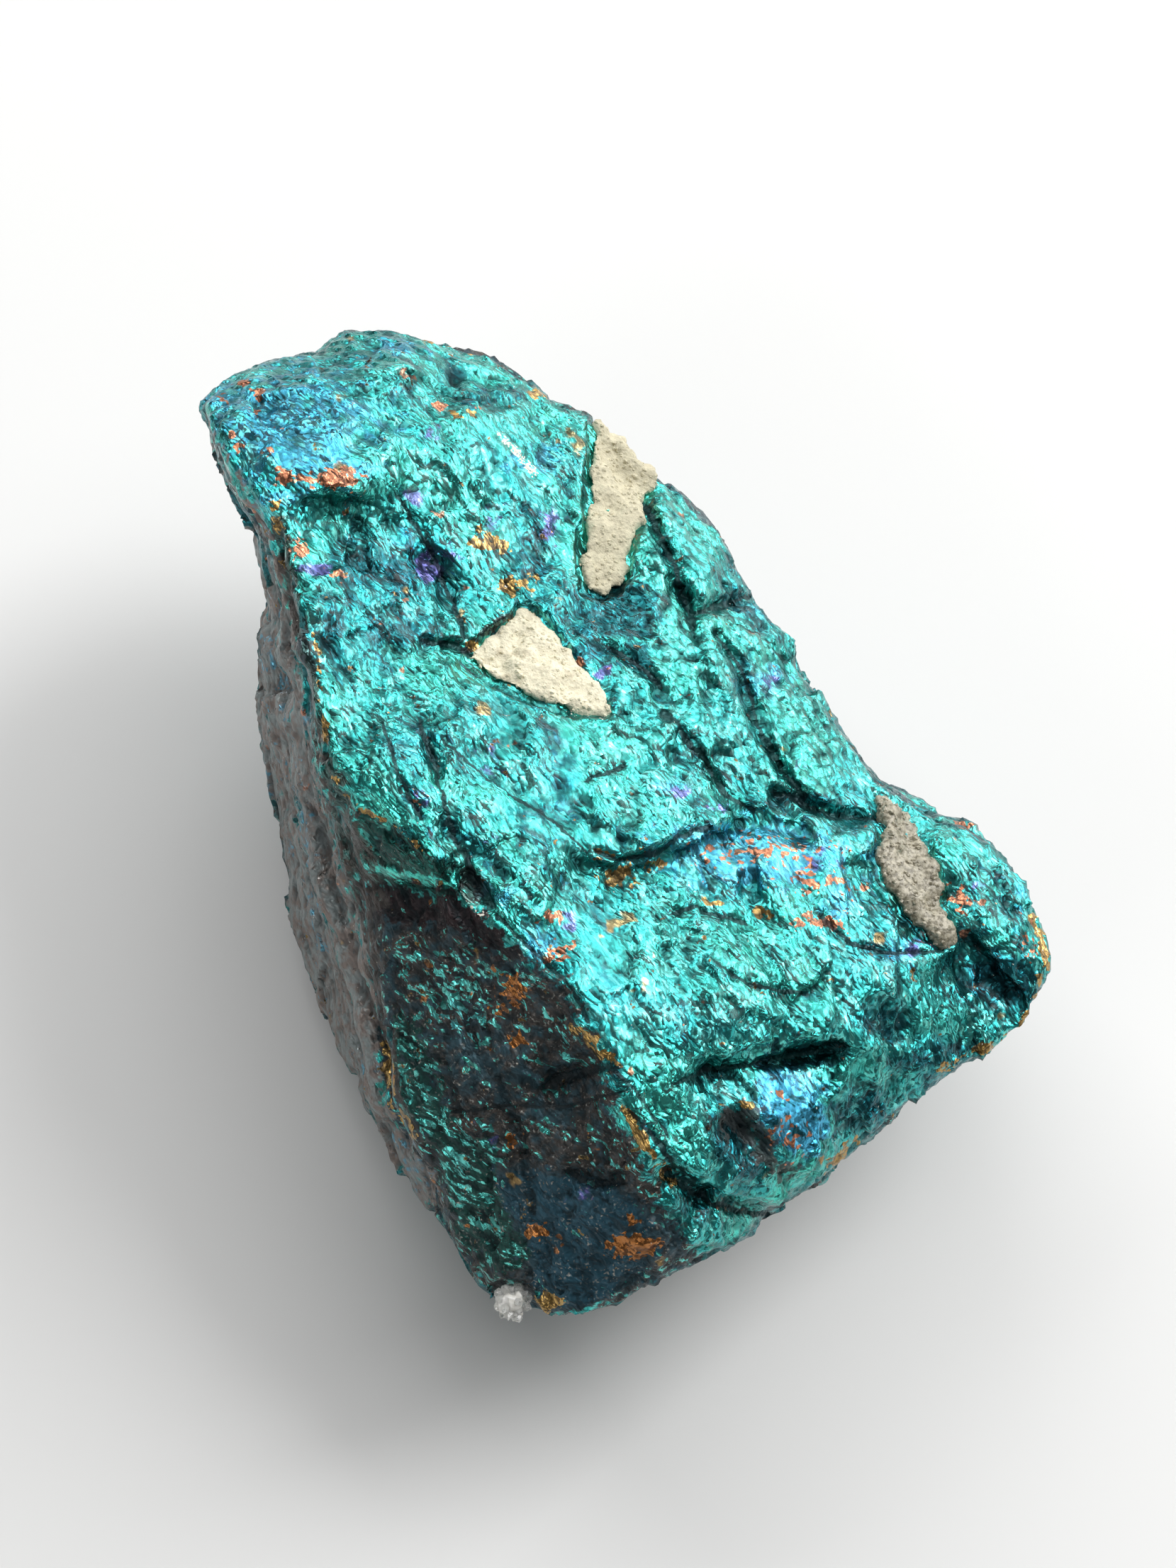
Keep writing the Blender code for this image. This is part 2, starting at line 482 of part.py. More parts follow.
def pale_mineral(ore, surface, name):
    """One pale patch: its face follows the ore's, sunk a little, and its back is level with its pocket."""
    outline = PALE_PATCHES[name]
    level = level_of(surface, outline)
    cut_pocket(ore, name, outline, level, POCKET_DEPTH)

    def face(pixel):
        distance = surface.ray_cast(EYE, line_of_sight(pixel))[3] or level(pixel)
        swell = min(max(distance - level(pixel), -FACE_SWELL), FACE_SWELL)
        return level(pixel) + swell + PALE_SINK

    return patch_solid(name, outline, face, lambda p: level(p) + POCKET_DEPTH - POCKET_GAP)


def crystal(place, length, axis):
    """A six-sided quartz point."""
    bm = bmesh.new()
    half = QUARTZ_WIDTH / 2
    levels = [(-0.18 * length, half), (0.45 * length, half * 0.92), (0.68 * length, 0.02 * half)]
    rings = []
    for height, radius in levels:
        ring = []
        for side in range(6):
            turn = math.radians(60 * side + 15)
            ring.append(bm.verts.new((radius * math.cos(turn), radius * math.sin(turn), height)))
        rings.append(ring)
    for low, high in zip(rings, rings[1:]):
        for side in range(6):
            after = (side + 1) % 6
            bm.faces.new([low[side], low[after], high[after], high[side]])
    bm.faces.new(reversed(rings[0]))
    bm.faces.new(rings[-1])
    turned = Vector(axis).to_track_quat("Z", "Y").to_matrix().to_4x4()
    turned.translation = place
    bmesh.ops.transform(bm, matrix=turned, verts=bm.verts)
    mesh = bpy.data.meshes.new("quartz point")
    bm.to_mesh(mesh)
    bm.free()
    return new_object("quartz point", mesh)


def quartz_tip(ore, surface):
    """The small cluster of clear points at the lowest tip, joined into one solid, in a notch of its own."""
    level = level_of(surface, TIP_NOTCH)
    cut_pocket(ore, "quartz_tip", TIP_NOTCH, level, TIP_DEPTH)
    points = []
    for pixel, length, (lean_right, lean_up) in QUARTZ_POINTS:
        foot = EYE + line_of_sight(pixel) * level(Vector(pixel))
        axis = TOWARD_EYE + RIGHT * lean_right + UP * lean_up
        points.append(crystal(foot, length * MM, axis))
    cluster = points[0]
    for point in points[1:]:
        joined = cluster.modifiers.new("joined", "BOOLEAN")
        joined.operation = "UNION"
        joined.solver = "EXACT"
        joined.object = point
    cluster.data = settled(cluster)
    for point in points[1:]:
        bpy.data.objects.remove(point)
    cluster.name = "quartz_tip"
    return cluster


def paint(obj, name, color, metallic, roughness):
    material = bpy.data.materials.new(name)
    material.use_nodes = True
    shader = material.node_tree.nodes["Principled BSDF"]
    shader.inputs["Base Color"].default_value = (*color, 1)
    shader.inputs["Metallic"].default_value = metallic
    shader.inputs["Roughness"].default_value = roughness
    material.diffuse_color = (*color, 1)
    obj.data.materials.clear()
    obj.data.materials.append(material)


def centre_on_box(pieces):
    """Move everything so that the middle of the stone's box stands over the origin."""
    corners = [obj.matrix_world @ Vector(corner) for obj in pieces for corner in obj.bound_box]
    low = Vector([min(corner[axis] for corner in corners) for axis in range(3)])
    high = Vector([max(corner[axis] for corner in corners) for axis in range(3)])
    middle = Vector(((low.x + high.x) / 2, (low.y + high.y) / 2, 0))
    for mesh in {obj.data for obj in bpy.data.objects}:
        mesh.transform(Matrix.Translation(-middle))
    return middle


def main():
    for obj in list(bpy.data.objects):
        bpy.data.objects.remove(obj)
    ore = weathered_ore()
    bm = bmesh.new()
    bm.from_mesh(ore.data)
    surface = BVHTree.FromBMesh(bm)
    bm.free()
    upper, middle, seam = (pale_mineral(ore, surface, name) for name in PALE_PATCHES)
    tip = quartz_tip(ore, surface)
    paint(ore, "tarnished_ore", (0.03, 0.36, 0.38), 0.9, 0.38)
    paint(upper, "upper_gangue", (0.62, 0.60, 0.50), 0.0, 0.9)
    paint(middle, "middle_gangue", (0.66, 0.64, 0.54), 0.0, 0.9)
    paint(seam, "seam_quartz", (0.50, 0.50, 0.46), 0.0, 0.6)
    paint(tip, "tip_quartz", (0.80, 0.82, 0.80), 0.0, 0.15)
    return centre_on_box([ore, upper, middle, seam, tip])


main()
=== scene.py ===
import math

import bmesh
import bpy
import numpy as np
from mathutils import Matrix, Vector, noise
from mathutils.bvhtree import BVHTree


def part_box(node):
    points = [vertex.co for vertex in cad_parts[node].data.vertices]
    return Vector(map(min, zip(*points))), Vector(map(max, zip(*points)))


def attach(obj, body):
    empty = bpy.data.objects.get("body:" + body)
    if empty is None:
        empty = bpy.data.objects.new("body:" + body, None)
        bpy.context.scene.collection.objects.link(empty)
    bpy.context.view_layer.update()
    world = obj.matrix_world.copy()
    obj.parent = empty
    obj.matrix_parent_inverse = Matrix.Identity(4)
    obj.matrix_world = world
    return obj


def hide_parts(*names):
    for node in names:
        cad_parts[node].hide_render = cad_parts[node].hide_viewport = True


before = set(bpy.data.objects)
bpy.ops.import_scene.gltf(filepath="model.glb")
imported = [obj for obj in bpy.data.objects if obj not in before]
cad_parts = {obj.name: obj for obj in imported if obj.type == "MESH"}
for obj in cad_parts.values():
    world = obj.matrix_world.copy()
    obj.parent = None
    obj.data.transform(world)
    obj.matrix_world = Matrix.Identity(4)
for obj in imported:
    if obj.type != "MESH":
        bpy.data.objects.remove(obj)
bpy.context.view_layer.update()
MM = 0.001

# The ore: one broken lump of massive copper ore, tarnished turquoise, blue and copper red all over.
# It broke along its grain, so its surface is a foil of small flat chips that catch the light singly.
# Nothing is fixed to it; the pale minerals of the later sections grew in its hollows.
ORE_GRID = 0.42 * MM
GRAIN_DIRECTION = Vector((0.55, -0.80, -0.24)).normalized()

# How much a face must turn to the eye to get the finer grid, and where it stops being steep. Steep
# faces are darkened with painted shade.
SEEN_TURN = 0.05
STEEP_TURN = 0.10
STEEP_FADE = 0.35

# The chips' tilts by their sizes, how the grain draws the chips out, and the steps where layers broke
# off. Calm places lose a part of all this relief.
CHIP_TILTS = {2.8 * MM: 0.24, 1.4 * MM: 0.18, 0.65 * MM: 0.12}
CHIP_STRETCH = 0.62
STEP_SIZE = 4.5 * MM
STEP_RISE = 0.12 * MM
STEP_LIP = 0.14
STEPS = 5
CALM_PART = 0.65

# How far the mean of a place's surroundings reaches, in rounds, and the depth that counts as hollow.
# Hollow places are darkened with painted shade.
HOLLOW_ROUNDS = (3, 14)
HOLLOW_DEPTH = 0.08 * MM

# The nodes that fill pockets in the ore, how wide and deep it sinks under them, and the height over
# the table where its relief reaches its full depth.
POCKETED = ("gangue_upper", "gangue_middle", "quartz_seam")
POCKET_EDGE = 0.40 * MM
POCKET_SINK = 0.20 * MM
FOOT_HEIGHT = 0.5 * MM

# The photograph's eye, which looks down at the stone along +Y from 240 mm away, and the point of the
# table that it aims at. A colour mark on the seen face lies where that eye sees the mark's pixel.
EYE_ELEVATION = math.radians(65)
AIM = Vector((-1.6555, 7.6583, 0)) * MM
EYE_DISTANCE = 240 * MM
RIGHT = Vector((1, 0, 0))
UP = Vector((0, math.sin(EYE_ELEVATION), math.cos(EYE_ELEVATION)))
TOWARD_EYE = Vector((0, -math.cos(EYE_ELEVATION), math.sin(EYE_ELEVATION)))
EYE = TOWARD_EYE * EYE_DISTANCE + AIM

# The size of a pixel: the stone's longest span in pixels and in metres, and its distance from the eye.
PHOTO_SIZE = (1659, 2212)
SPAN_PIXELS = 1450
SPAN = 48.3 * MM
SPAN_DISTANCE = 220 * MM
PIXELS_PER_RADIAN = SPAN_PIXELS / SPAN * SPAN_DISTANCE

# How the marks' edges fade, in pixels, and how strongly a vein covers what lies under it.
PATH_END = 14
REGION_SOFTNESS = 24
VEIN_COVER = 0.72
CRACK_REACH = 9
CRACK_EDGE = 2
SUNKEN_EDGE = 9

# Ovals of colour: pixel across, pixel down, half width, half height and strength.
OVALS = {
    # Round grains in place of foil, between the upper gangue patch and the right-hand edge.
    "pebbly": [
        (930, 790, 60, 100, 1), (1000, 900, 80, 100, 1), (1100, 1010, 90, 100, 1),
        (880, 1010, 50, 60, 0.8), (960, 1010, 70, 80, 0.9), (1160, 1100, 50, 40, 0.8),
        (700, 650, 40, 34, 0.8), (590, 690, 40, 30, 0.6),
    ],
    # Copper-red blots and dots: upper left, beside the seam, and down the dark facet.
    "copper": [
        (400, 670, 16, 13, 1.2), (430, 672, 12, 9, 1), (476, 674, 32, 16, 1.3),
        (345, 540, 11, 7, 1), (362, 552, 12, 7, 1), (316, 562, 8, 7, 0.9), (360, 574, 8, 6, 0.9),
        (386, 600, 9, 6, 0.9), (326, 611, 8, 8, 0.9), (335, 630, 9, 7, 1), (380, 636, 8, 6, 0.8),
        (424, 776, 13, 15, 1), (620, 572, 10, 8, 1), (472, 812, 15, 7, 0.8),
        (596, 1128, 12, 12, 0.7), (780, 1296, 24, 12, 0.8), (795, 1336, 18, 22, 0.8),
        (772, 1352, 16, 9, 0.8), (1080, 1200, 110, 30, 0.62), (1150, 1240, 60, 22, 0.62),
        (1160, 1300, 38, 12, 0.9), (1222, 1250, 10, 8, 0.9), (1360, 1268, 32, 22, 0.8),
        (1452, 1330, 14, 30, 0.6), (722, 1400, 17, 20, 1.2), (708, 1424, 16, 9, 0.9),
        (728, 1468, 12, 14, 1.2), (722, 1612, 12, 9, 0.9), (758, 1736, 17, 12, 1.2),
        (892, 1758, 30, 16, 1.4), (893, 1722, 9, 9, 1.1), (660, 1730, 8, 8, 0.7),
        (1100, 1545, 16, 14, 0.7), (1112, 1600, 24, 34, 0.66), (690, 1372, 9, 7, 0.8),
    ],
    # Old gold, mostly round the gangue patches and at the lowest tip.
    "gold": [
        (655, 582, 16, 8, 0.9), (688, 764, 24, 17, 1.1), (725, 826, 32, 12, 1),
        (716, 878, 18, 10, 0.8), (668, 908, 20, 8, 0.9), (1005, 1275, 22, 9, 0.8),
        (1075, 1285, 16, 8, 0.8), (770, 1838, 18, 14, 1.3), (880, 1236, 40, 11, 0.8),
        (930, 1216, 20, 10, 0.8), (1180, 1640, 18, 14, 1), (540, 1160, 14, 6, 0.7),
    ],
    # Violet, in small blots over the upper half and along the ledges.
    "violet": [
        (445, 806, 20, 12, 1.1), (585, 702, 18, 11, 1), (604, 800, 18, 24, 1),
        (600, 1128, 14, 18, 0.7), (700, 740, 15, 28, 0.7), (610, 610, 34, 14, 0.6),
        (640, 780, 14, 22, 0.6), (780, 735, 16, 30, 0.6), (960, 1120, 18, 9, 0.8),
        (1020, 1140, 20, 9, 0.7), (1085, 962, 14, 12, 0.7), (1115, 1085, 18, 10, 0.7),
        (800, 1300, 20, 26, 0.6), (1290, 1338, 24, 11, 0.8), (1160, 1210, 30, 22, 0.6),
        (850, 950, 20, 16, 0.6), (1380, 1250, 14, 12, 0.7), (690, 1085, 20, 30, 0.5),
        (700, 1180, 22, 14, 0.5), (690, 1600, 26, 20, 0.4), (820, 1690, 30, 20, 0.45),
    ],
    # Azure: the upper left corner, the copper-dotted plane and the small plane low down.
    "azure": [
        (440, 640, 60, 30, 1.1), (400, 700, 36, 14, 0.8), (400, 600, 130, 80, 0.8),
        (330, 560, 50, 30, 0.8), (420, 570, 46, 16, 0.6), (560, 488, 50, 12, 0.7),
        (500, 660, 40, 18, 0.8), (760, 1330, 28, 36, 0.7), (700, 1260, 30, 22, 0.6),
        (1060, 1206, 120, 40, 1.1), (1180, 1270, 30, 26, 0.7), (1085, 960, 34, 22, 0.7),
        (1110, 1560, 50, 56, 1), (1270, 1340, 30, 20, 0.8), (1230, 1210, 18, 22, 0.7),
        (1440, 1270, 18, 18, 0.5), (1390, 1380, 22, 30, 0.6), (730, 655, 24, 20, 0.6),
        (770, 640, 30, 22, 0.6), (560, 770, 28, 34, 0.4), (830, 1660, 50, 26, 0.8),
        (780, 1700, 60, 40, 0.6), (650, 1440, 40, 30, 0.6), (940, 1110, 24, 14, 0.7),
    ],
    # The lightest sea green, strongest right of the middle.
    "mint": [
        (775, 585, 40, 28, 1), (560, 520, 60, 24, 0.6), (700, 530, 40, 20, 0.8),
        (900, 740, 44, 60, 1), (930, 860, 60, 60, 1), (1000, 760, 30, 40, 0.8),
        (960, 960, 44, 40, 0.9), (860, 1060, 40, 50, 0.8), (1090, 920, 20, 24, 0.7),
        (1140, 1040, 40, 60, 0.8), (620, 690, 50, 30, 0.7), (700, 1050, 40, 40, 0.5),
        (1350, 1190, 40, 26, 0.8), (1060, 1400, 90, 34, 0.7), (900, 1360, 60, 40, 0.5),
        (530, 1090, 30, 30, 0.8), (980, 1600, 40, 40, 0.6), (1230, 1500, 44, 26, 0.8),
        (1320, 1440, 44, 30, 0.7), (1000, 1500, 60, 26, 0.6), (470, 740, 40, 26, 0.6),
    ],
    # Smoother planes, where the foil is less crumpled.
    "calm": [
        (800, 1090, 26, 90, 0.9), (770, 1150, 50, 26, 0.8), (720, 1010, 20, 60, 0.7),
        (840, 1180, 40, 18, 0.8), (850, 1360, 22, 90, 0.9), (880, 1450, 18, 50, 0.7),
        (640, 530, 26, 14, 0.8), (600, 1240, 60, 16, 0.6), (430, 640, 50, 20, 0.6),
        (1060, 1215, 110, 34, 0.6), (1110, 1560, 40, 50, 0.8), (700, 640, 22, 40, 0.5),
    ],
    # Painted shade in hollows and on the shaded sides of ledges.
    "deep": [
        (500, 800, 50, 60, 0.9), (470, 880, 30, 60, 0.9), (590, 800, 60, 50, 0.9),
        (570, 890, 60, 30, 1), (870, 860, 70, 44, 1.2), (830, 920, 40, 22, 1),
        (740, 800, 40, 40, 0.9), (1410, 1380, 50, 40, 1.2), (1290, 1500, 50, 16, 0.9),
        (480, 950, 26, 30, 0.6), (760, 1170, 50, 50, 0.6), (1100, 1200, 60, 20, 0.4),
        (1340, 1480, 40, 12, 0.9), (1230, 1540, 40, 14, 0.6), (980, 1420, 40, 16, 0.6),
        (985, 1700, 40, 24, 0.7), (1140, 1400, 50, 12, 0.6), (700, 1060, 70, 60, 0.45),
        (560, 1040, 60, 80, 0.35), (780, 1060, 60, 90, 0.4), (800, 1100, 22, 80, 0.7),
        (745, 740, 26, 50, 0.8), (800, 690, 18, 50, 0.7), (640, 530, 26, 12, 0.9),
        (1250, 1440, 40, 20, 0.9), (1215, 1572, 54, 26, 0.9), (1030, 1605, 26, 44, 1.3),
        (1060, 1645, 24, 20, 1.1), (1440, 1390, 26, 26, 0.8), (1380, 1320, 24, 22, 0.7),
        (1290, 1300, 24, 20, 0.8), (1130, 1130, 60, 12, 1), (905, 925, 26, 20, 0.9),
        (540, 760, 18, 26, 0.5), (840, 860, 30, 24, 0.8), (880, 900, 40, 20, 0.7),
        (870, 1505, 10, 40, 0.7), (850, 1360, 18, 80, 0.5), (560, 1180, 40, 20, 0.9),
        (610, 1215, 30, 14, 0.9), (990, 690, 10, 16, 0.6),
    ],
}

# Thin veins and rims of colour: half width in pixels, and a row of pixels.
VEINS = {
    # Gold along crests and edges.
    "gold": [
        (5, [(384, 712), (392, 728), (400, 748)]), (3, [(446, 892), (452, 960), (458, 1062)]),
        (4, [(1460, 1290), (1480, 1355), (1466, 1412), (1440, 1450)]),
        (3, [(1420, 1462), (1400, 1474), (1320, 1510)]),
        (5, [(806, 1444), (830, 1470), (866, 1496)]),
        (5, [(880, 1560), (902, 1600), (930, 1640), (950, 1672)]),
        (3, [(838, 1196), (872, 1204), (905, 1196)]), (2, [(590, 474), (640, 486), (684, 498)]),
        (3, [(745, 548), (772, 566)]), (3, [(548, 1470), (552, 1552), (590, 1606)]),
        (2, [(470, 1096), (505, 1140), (560, 1172), (598, 1200)]),
        (3, [(1020, 1556), (1060, 1560)]), (4, [(1206, 1608), (1186, 1626), (1166, 1650)]),
    ],
    # Light green along the lower edge of the green facet.
    "mint": [
        (4, [(524, 1222), (560, 1234), (600, 1242), (640, 1254)]),
        (4, [(804, 1656), (846, 1662)]),
    ],
    # Brown bark along the left crest and round the middle gangue patch.
    "rim": [
        (6, [(392, 730), (406, 800), (420, 880), (440, 960), (456, 1060), (470, 1130), (486, 1200),
             (512, 1280)]),
        (5, [(512, 1280), (532, 1380), (546, 1450), (556, 1540), (590, 1600)]),
        (11, [(466, 1090), (476, 1130), (488, 1172), (508, 1222), (528, 1280)]),
        (7, [(656, 1228), (662, 1250), (668, 1276)]), (4, [(655, 920), (690, 886), (728, 866)]),
        (5, [(800, 935), (830, 970), (852, 1000)]),
    ],
    # Bone-white scratches and grains.
    "pale": [
        (3, [(704, 610), (728, 636), (757, 668)]), (2, [(806, 996), (828, 1006), (850, 1014)]),
        (2, [(650, 1262), (664, 1276), (676, 1288)]),
    ],
    # One thin copper line at the right.
    "copper": [
        (3, [(1340, 1148), (1370, 1166)]),
    ],
}

# Facets with a tarnish of their own, and the recess's painted shadow, each by a row of pixels round
# it.
FACETS = {
    # The drab flank left of the left crest.
    "flank": [
        (270, 560), (302, 612), (342, 690), (376, 742), (396, 800), (410, 860), (424, 920),
        (438, 1000), (450, 1080), (462, 1140), (480, 1200), (500, 1260), (520, 1320), (530, 1400),
        (540, 1480), (544, 1552), (584, 1618), (614, 1670), (600, 1730), (380, 1400), (330, 900),
        (330, 760), (250, 600),
    ],
    # The dark facet below the front crest, then its own parts. Its slate is partly its own duller
    # tarnish and partly painted shade, for it faces away from the light.
    "dark_facet": [
        (492, 1230), (540, 1240), (600, 1258), (652, 1262), (700, 1312), (742, 1352), (790, 1380),
        (818, 1420), (838, 1468), (858, 1520), (872, 1570), (900, 1630), (934, 1690), (968, 1740),
        (1000, 1790), (760, 1880), (700, 1836), (640, 1790), (560, 1620), (530, 1500),
        (515, 1380),
    ],
    # The green facet above the dark one.
    "green_facet": [
        (492, 1140), (545, 1160), (600, 1192), (640, 1222), (656, 1256), (600, 1258), (520, 1240),
        (490, 1224),
    ],
    # The dark facet's maroon top.
    "maroon": [
        (505, 1236), (560, 1244), (600, 1256), (640, 1262), (690, 1290), (740, 1340), (700, 1352),
        (640, 1310), (560, 1306), (516, 1300),
    ],
    # Its streaked part.
    "streaked": [
        (600, 1330), (660, 1320), (720, 1345), (770, 1380), (740, 1400), (700, 1440), (680, 1470),
        (630, 1470), (590, 1430), (560, 1370),
    ],
    # The green strip down its left side.
    "green_strip": [
        (556, 1430), (596, 1450), (616, 1520), (640, 1596), (690, 1606), (704, 1650), (730, 1720),
        (756, 1770), (700, 1800), (650, 1740), (624, 1660), (612, 1620), (556, 1560),
    ],
    # Its blue plane at the bottom.
    "blue_plane": [
        (696, 1650), (760, 1652), (850, 1664), (900, 1690), (930, 1760), (900, 1800), (820, 1850),
        (756, 1850), (750, 1760), (716, 1710),
    ],
    # The brown hollow low on the face.
    "hollow_mark": [
        (1006, 1562), (1030, 1556), (1064, 1562), (1084, 1600), (1116, 1650), (1100, 1664),
        (1050, 1612), (1012, 1590),
    ],
    # The striped plane beside that hollow.
    "striped": [
        (1062, 1512), (1110, 1512), (1146, 1540), (1172, 1590), (1150, 1626), (1104, 1624),
        (1074, 1560),
    ],
    # The recess under the lower lip, sunk and darkened with a painted shadow.
    "recess": [
        (958, 1528), (1010, 1506), (1052, 1500), (1100, 1480), (1150, 1468), (1190, 1476),
        (1176, 1494), (1130, 1508), (1060, 1510), (1010, 1516),
    ],
}

# How deep the sunken facets lie.
SUNKEN = {"recess": 0.45 * MM, "hollow_mark": 0.12 * MM}

# Cracks: half width in pixels, depth in mm, and a row of pixels. Each is cut into the mesh and
# darkened along its line with painted shade.
CRACKS = [
    (3, 0.15, [(592, 1015), (608, 1060), (622, 1110), (635, 1160), (650, 1205)]),
    (3, 0.15, [(950, 1290), (985, 1282), (1020, 1292), (1050, 1300)]),
    (3, 0.15, [(830, 1100), (852, 1092), (880, 1080)]),
    (4, 0.25, [(940, 1652), (977, 1683), (1033, 1707), (1100, 1716)]),
    (3, 0.2, [(890, 1570), (920, 1602), (950, 1640), (980, 1665)]),
    (3, 0.2, [(850, 1500), (890, 1530), (915, 1565), (940, 1600)]),
    (4, 0.3, [(905, 700), (925, 745), (950, 800), (972, 852), (980, 880)]),
    (3, 0.25, [(972, 872), (1005, 856), (1040, 848), (1070, 835)]),
    (2, 0.2, [(1010, 890), (1045, 945), (1062, 990), (1075, 1035)]),
    (4, 0.3, [(1075, 1035), (1105, 1090), (1135, 1122)]),
    (2, 0.25, [(950, 1530), (1010, 1510), (1060, 1500), (1120, 1490), (1190, 1476)]),
    (2, 0.05, [(625, 1045), (665, 1075), (700, 1105), (740, 1130), (790, 1165), (830, 1205)]),
    (4, 0.25, [(935, 1005), (975, 1050), (1000, 1080), (1025, 1115), (1060, 1145)]),
    (4, 0.35, [(1100, 1118), (1140, 1140), (1180, 1152), (1240, 1153)]),
    (4, 0.25, [(600, 905), (640, 912), (665, 920)]),
    (3, 0.15, [(700, 1290), (750, 1340), (800, 1385), (830, 1440)]),
    (3, 0.2, [(1160, 1290), (1200, 1330), (1260, 1345), (1330, 1340)]),
    (3, 0.15, [(540, 1020), (560, 1090), (590, 1150)]),
    (3, 0.15, [(860, 912), (900, 940), (928, 962)]),
    (3, 0.15, [(1040, 880), (1080, 905), (1110, 930)]),
    (3, 0.15, [(1000, 1350), (1060, 1390), (1130, 1400)]),
    (3, 0.15, [(560, 700), (600, 760), (640, 850), (655, 900)]),
    (5, 0.3, [(656, 1200), (664, 1240), (690, 1275)]),
    (5, 0.2, [(762, 1536), (800, 1520), (860, 1502)]),
    (2, 0.12, [(640, 1570), (720, 1560), (800, 1560), (880, 1540)]),
    (3, 0.2, [(800, 1652), (840, 1672), (880, 1668)]),
    (4, 0.3, [(840, 1200), (880, 1216), (930, 1200), (960, 1180), (1000, 1168)]),
]


def pixels_of(places):
    """The photograph's pixels where its eye sees an array of places."""
    rays = places - np.array(EYE)
    depth = -rays @ np.array(TOWARD_EYE)
    across = PHOTO_SIZE[0] / 2 + PIXELS_PER_RADIAN * (rays @ np.array(RIGHT)) / depth
    down = PHOTO_SIZE[1] / 2 - PIXELS_PER_RADIAN * (rays @ np.array(UP)) / depth
    return np.stack((across, down), axis=1)


def eased(value):
    value = np.clip(value, 0, 1)
    return value * value * (3 - 2 * value)


def vertex_rows(mesh, name):
    rows = np.empty(len(mesh.vertices) * 3)
    mesh.vertices.foreach_get(name, rows)
    return rows.reshape(-1, 3)


def oval_cover(pixels, ovals):
    """How strongly each place is covered by soft ovals."""
    cover = np.zeros(len(pixels))
    for across, down, half_width, half_height, strength in ovals:
        aside = (pixels[:, 0] - across) / half_width
        below = (pixels[:, 1] - down) / half_height
        cover = np.maximum(cover, strength * np.exp(-0.7 * (aside**2 + below**2)))
    return cover


def side_of_path(pixels, path):
    """Signed distance to a row of pixels, and whether it lies abreast of them and not past an end."""
    path = np.array(path, float)
    best = np.full(len(pixels), 1e9)
    abreast = np.zeros(len(pixels))
    lengths = np.linalg.norm(np.diff(path, axis=0), axis=1)
    for number, (start, end) in enumerate(zip(path, path[1:])):
        step = end - start
        along = (pixels - start) @ step / lengths[number]
        offset = pixels - start - np.clip(along, 0, lengths[number])[:, None] * step / lengths[number]
        gap = np.linalg.norm(offset, axis=1)
        side = np.sign(step[0] * offset[:, 1] - step[1] * offset[:, 0])
        past = np.zeros(len(pixels))
        if number == 0:
            past = np.maximum(past, -along)
        if number == len(lengths) - 1:
            past = np.maximum(past, along - lengths[number])
        nearer = gap < abs(best)
        best = np.where(nearer, gap * np.where(side == 0, 1, side), best)
        abreast = np.where(nearer, 1 - eased(past / PATH_END), abreast)
    return best, abreast


def inside_of(pixels, outline):
    """Signed distance to a closed outline, above zero inside it."""
    distance = abs(side_of_path(pixels, outline + outline[:1])[0])
    within = np.zeros(len(pixels), bool)
    for (x0, y0), (x1, y1) in zip(outline, outline[1:] + outline[:1]):
        between = (pixels[:, 1] < y0) != (pixels[:, 1] < y1)
        crossing = x0 + (pixels[:, 1] - y0) * (x1 - x0) / ((y1 - y0) or 1)
        within ^= between & (pixels[:, 0] < crossing)
    return np.where(within, distance, -distance)


def store(mesh, name, values):
    layer = mesh.attributes.new(name, "FLOAT", "POINT")
    layer.data.foreach_set("value", values.astype(np.float32))


def chipped(place, size):
    """Height of a broken surface at a place: small flat chips, each tipped its own way."""
    along = GRAIN_DIRECTION * place.dot(GRAIN_DIRECTION)
    spot = (place - along + along * CHIP_STRETCH) / size
    chip = noise.voronoi(spot)[1][0]
    tip = Vector([noise.noise(chip * 7.3 + Vector((31 * axis, 0, 0))) for axis in range(3)])
    return size * tip.dot(spot - chip)


def linked(name, data):
    """A new object in the scene."""
    obj = bpy.data.objects.new(name, data)
    bpy.context.scene.collection.objects.link(obj)
    return obj


def merged_copy(name, *nodes):
    """CAD nodes' solids as one new object, with the loose triangles of each one joined."""
    whole = bmesh.new()
    for node in nodes:
        part = bmesh.new()
        part.from_mesh(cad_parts[node].data)
        bmesh.ops.remove_doubles(part, verts=part.verts, dist=0.005 * MM)
        mesh = bpy.data.meshes.new(node)
        part.to_mesh(mesh)
        whole.from_mesh(mesh)
        part.free()
        bpy.data.meshes.remove(mesh)
    mesh = bpy.data.meshes.new(name)
    whole.to_mesh(mesh)
    whole.free()
    return linked(name, mesh)


def settle(obj):
    """Work an object's modifiers into its mesh."""
    graph = bpy.context.evaluated_depsgraph_get()
    obj.data = bpy.data.meshes.new_from_object(obj.evaluated_get(graph))
    obj.modifiers.clear()


def regrid(obj, grid):
    """Give a solid an even grid of small faces."""
    remesh = obj.modifiers.new("grid", "REMESH")
    remesh.mode = "VOXEL"
    remesh.voxel_size = grid
    settle(obj)


def refine_seen_side(obj):
    """Halve the grid on the side that the eye sees."""
    bm = bmesh.new()
    bm.from_mesh(obj.data)
    seen = [edge for edge in bm.edges
            if any(face.normal.dot(TOWARD_EYE) > SEEN_TURN for face in edge.link_faces)]
    bmesh.ops.subdivide_edges(bm, edges=seen, cuts=1, use_grid_fill=True)
    bm.to_mesh(obj.data)
    bm.free()


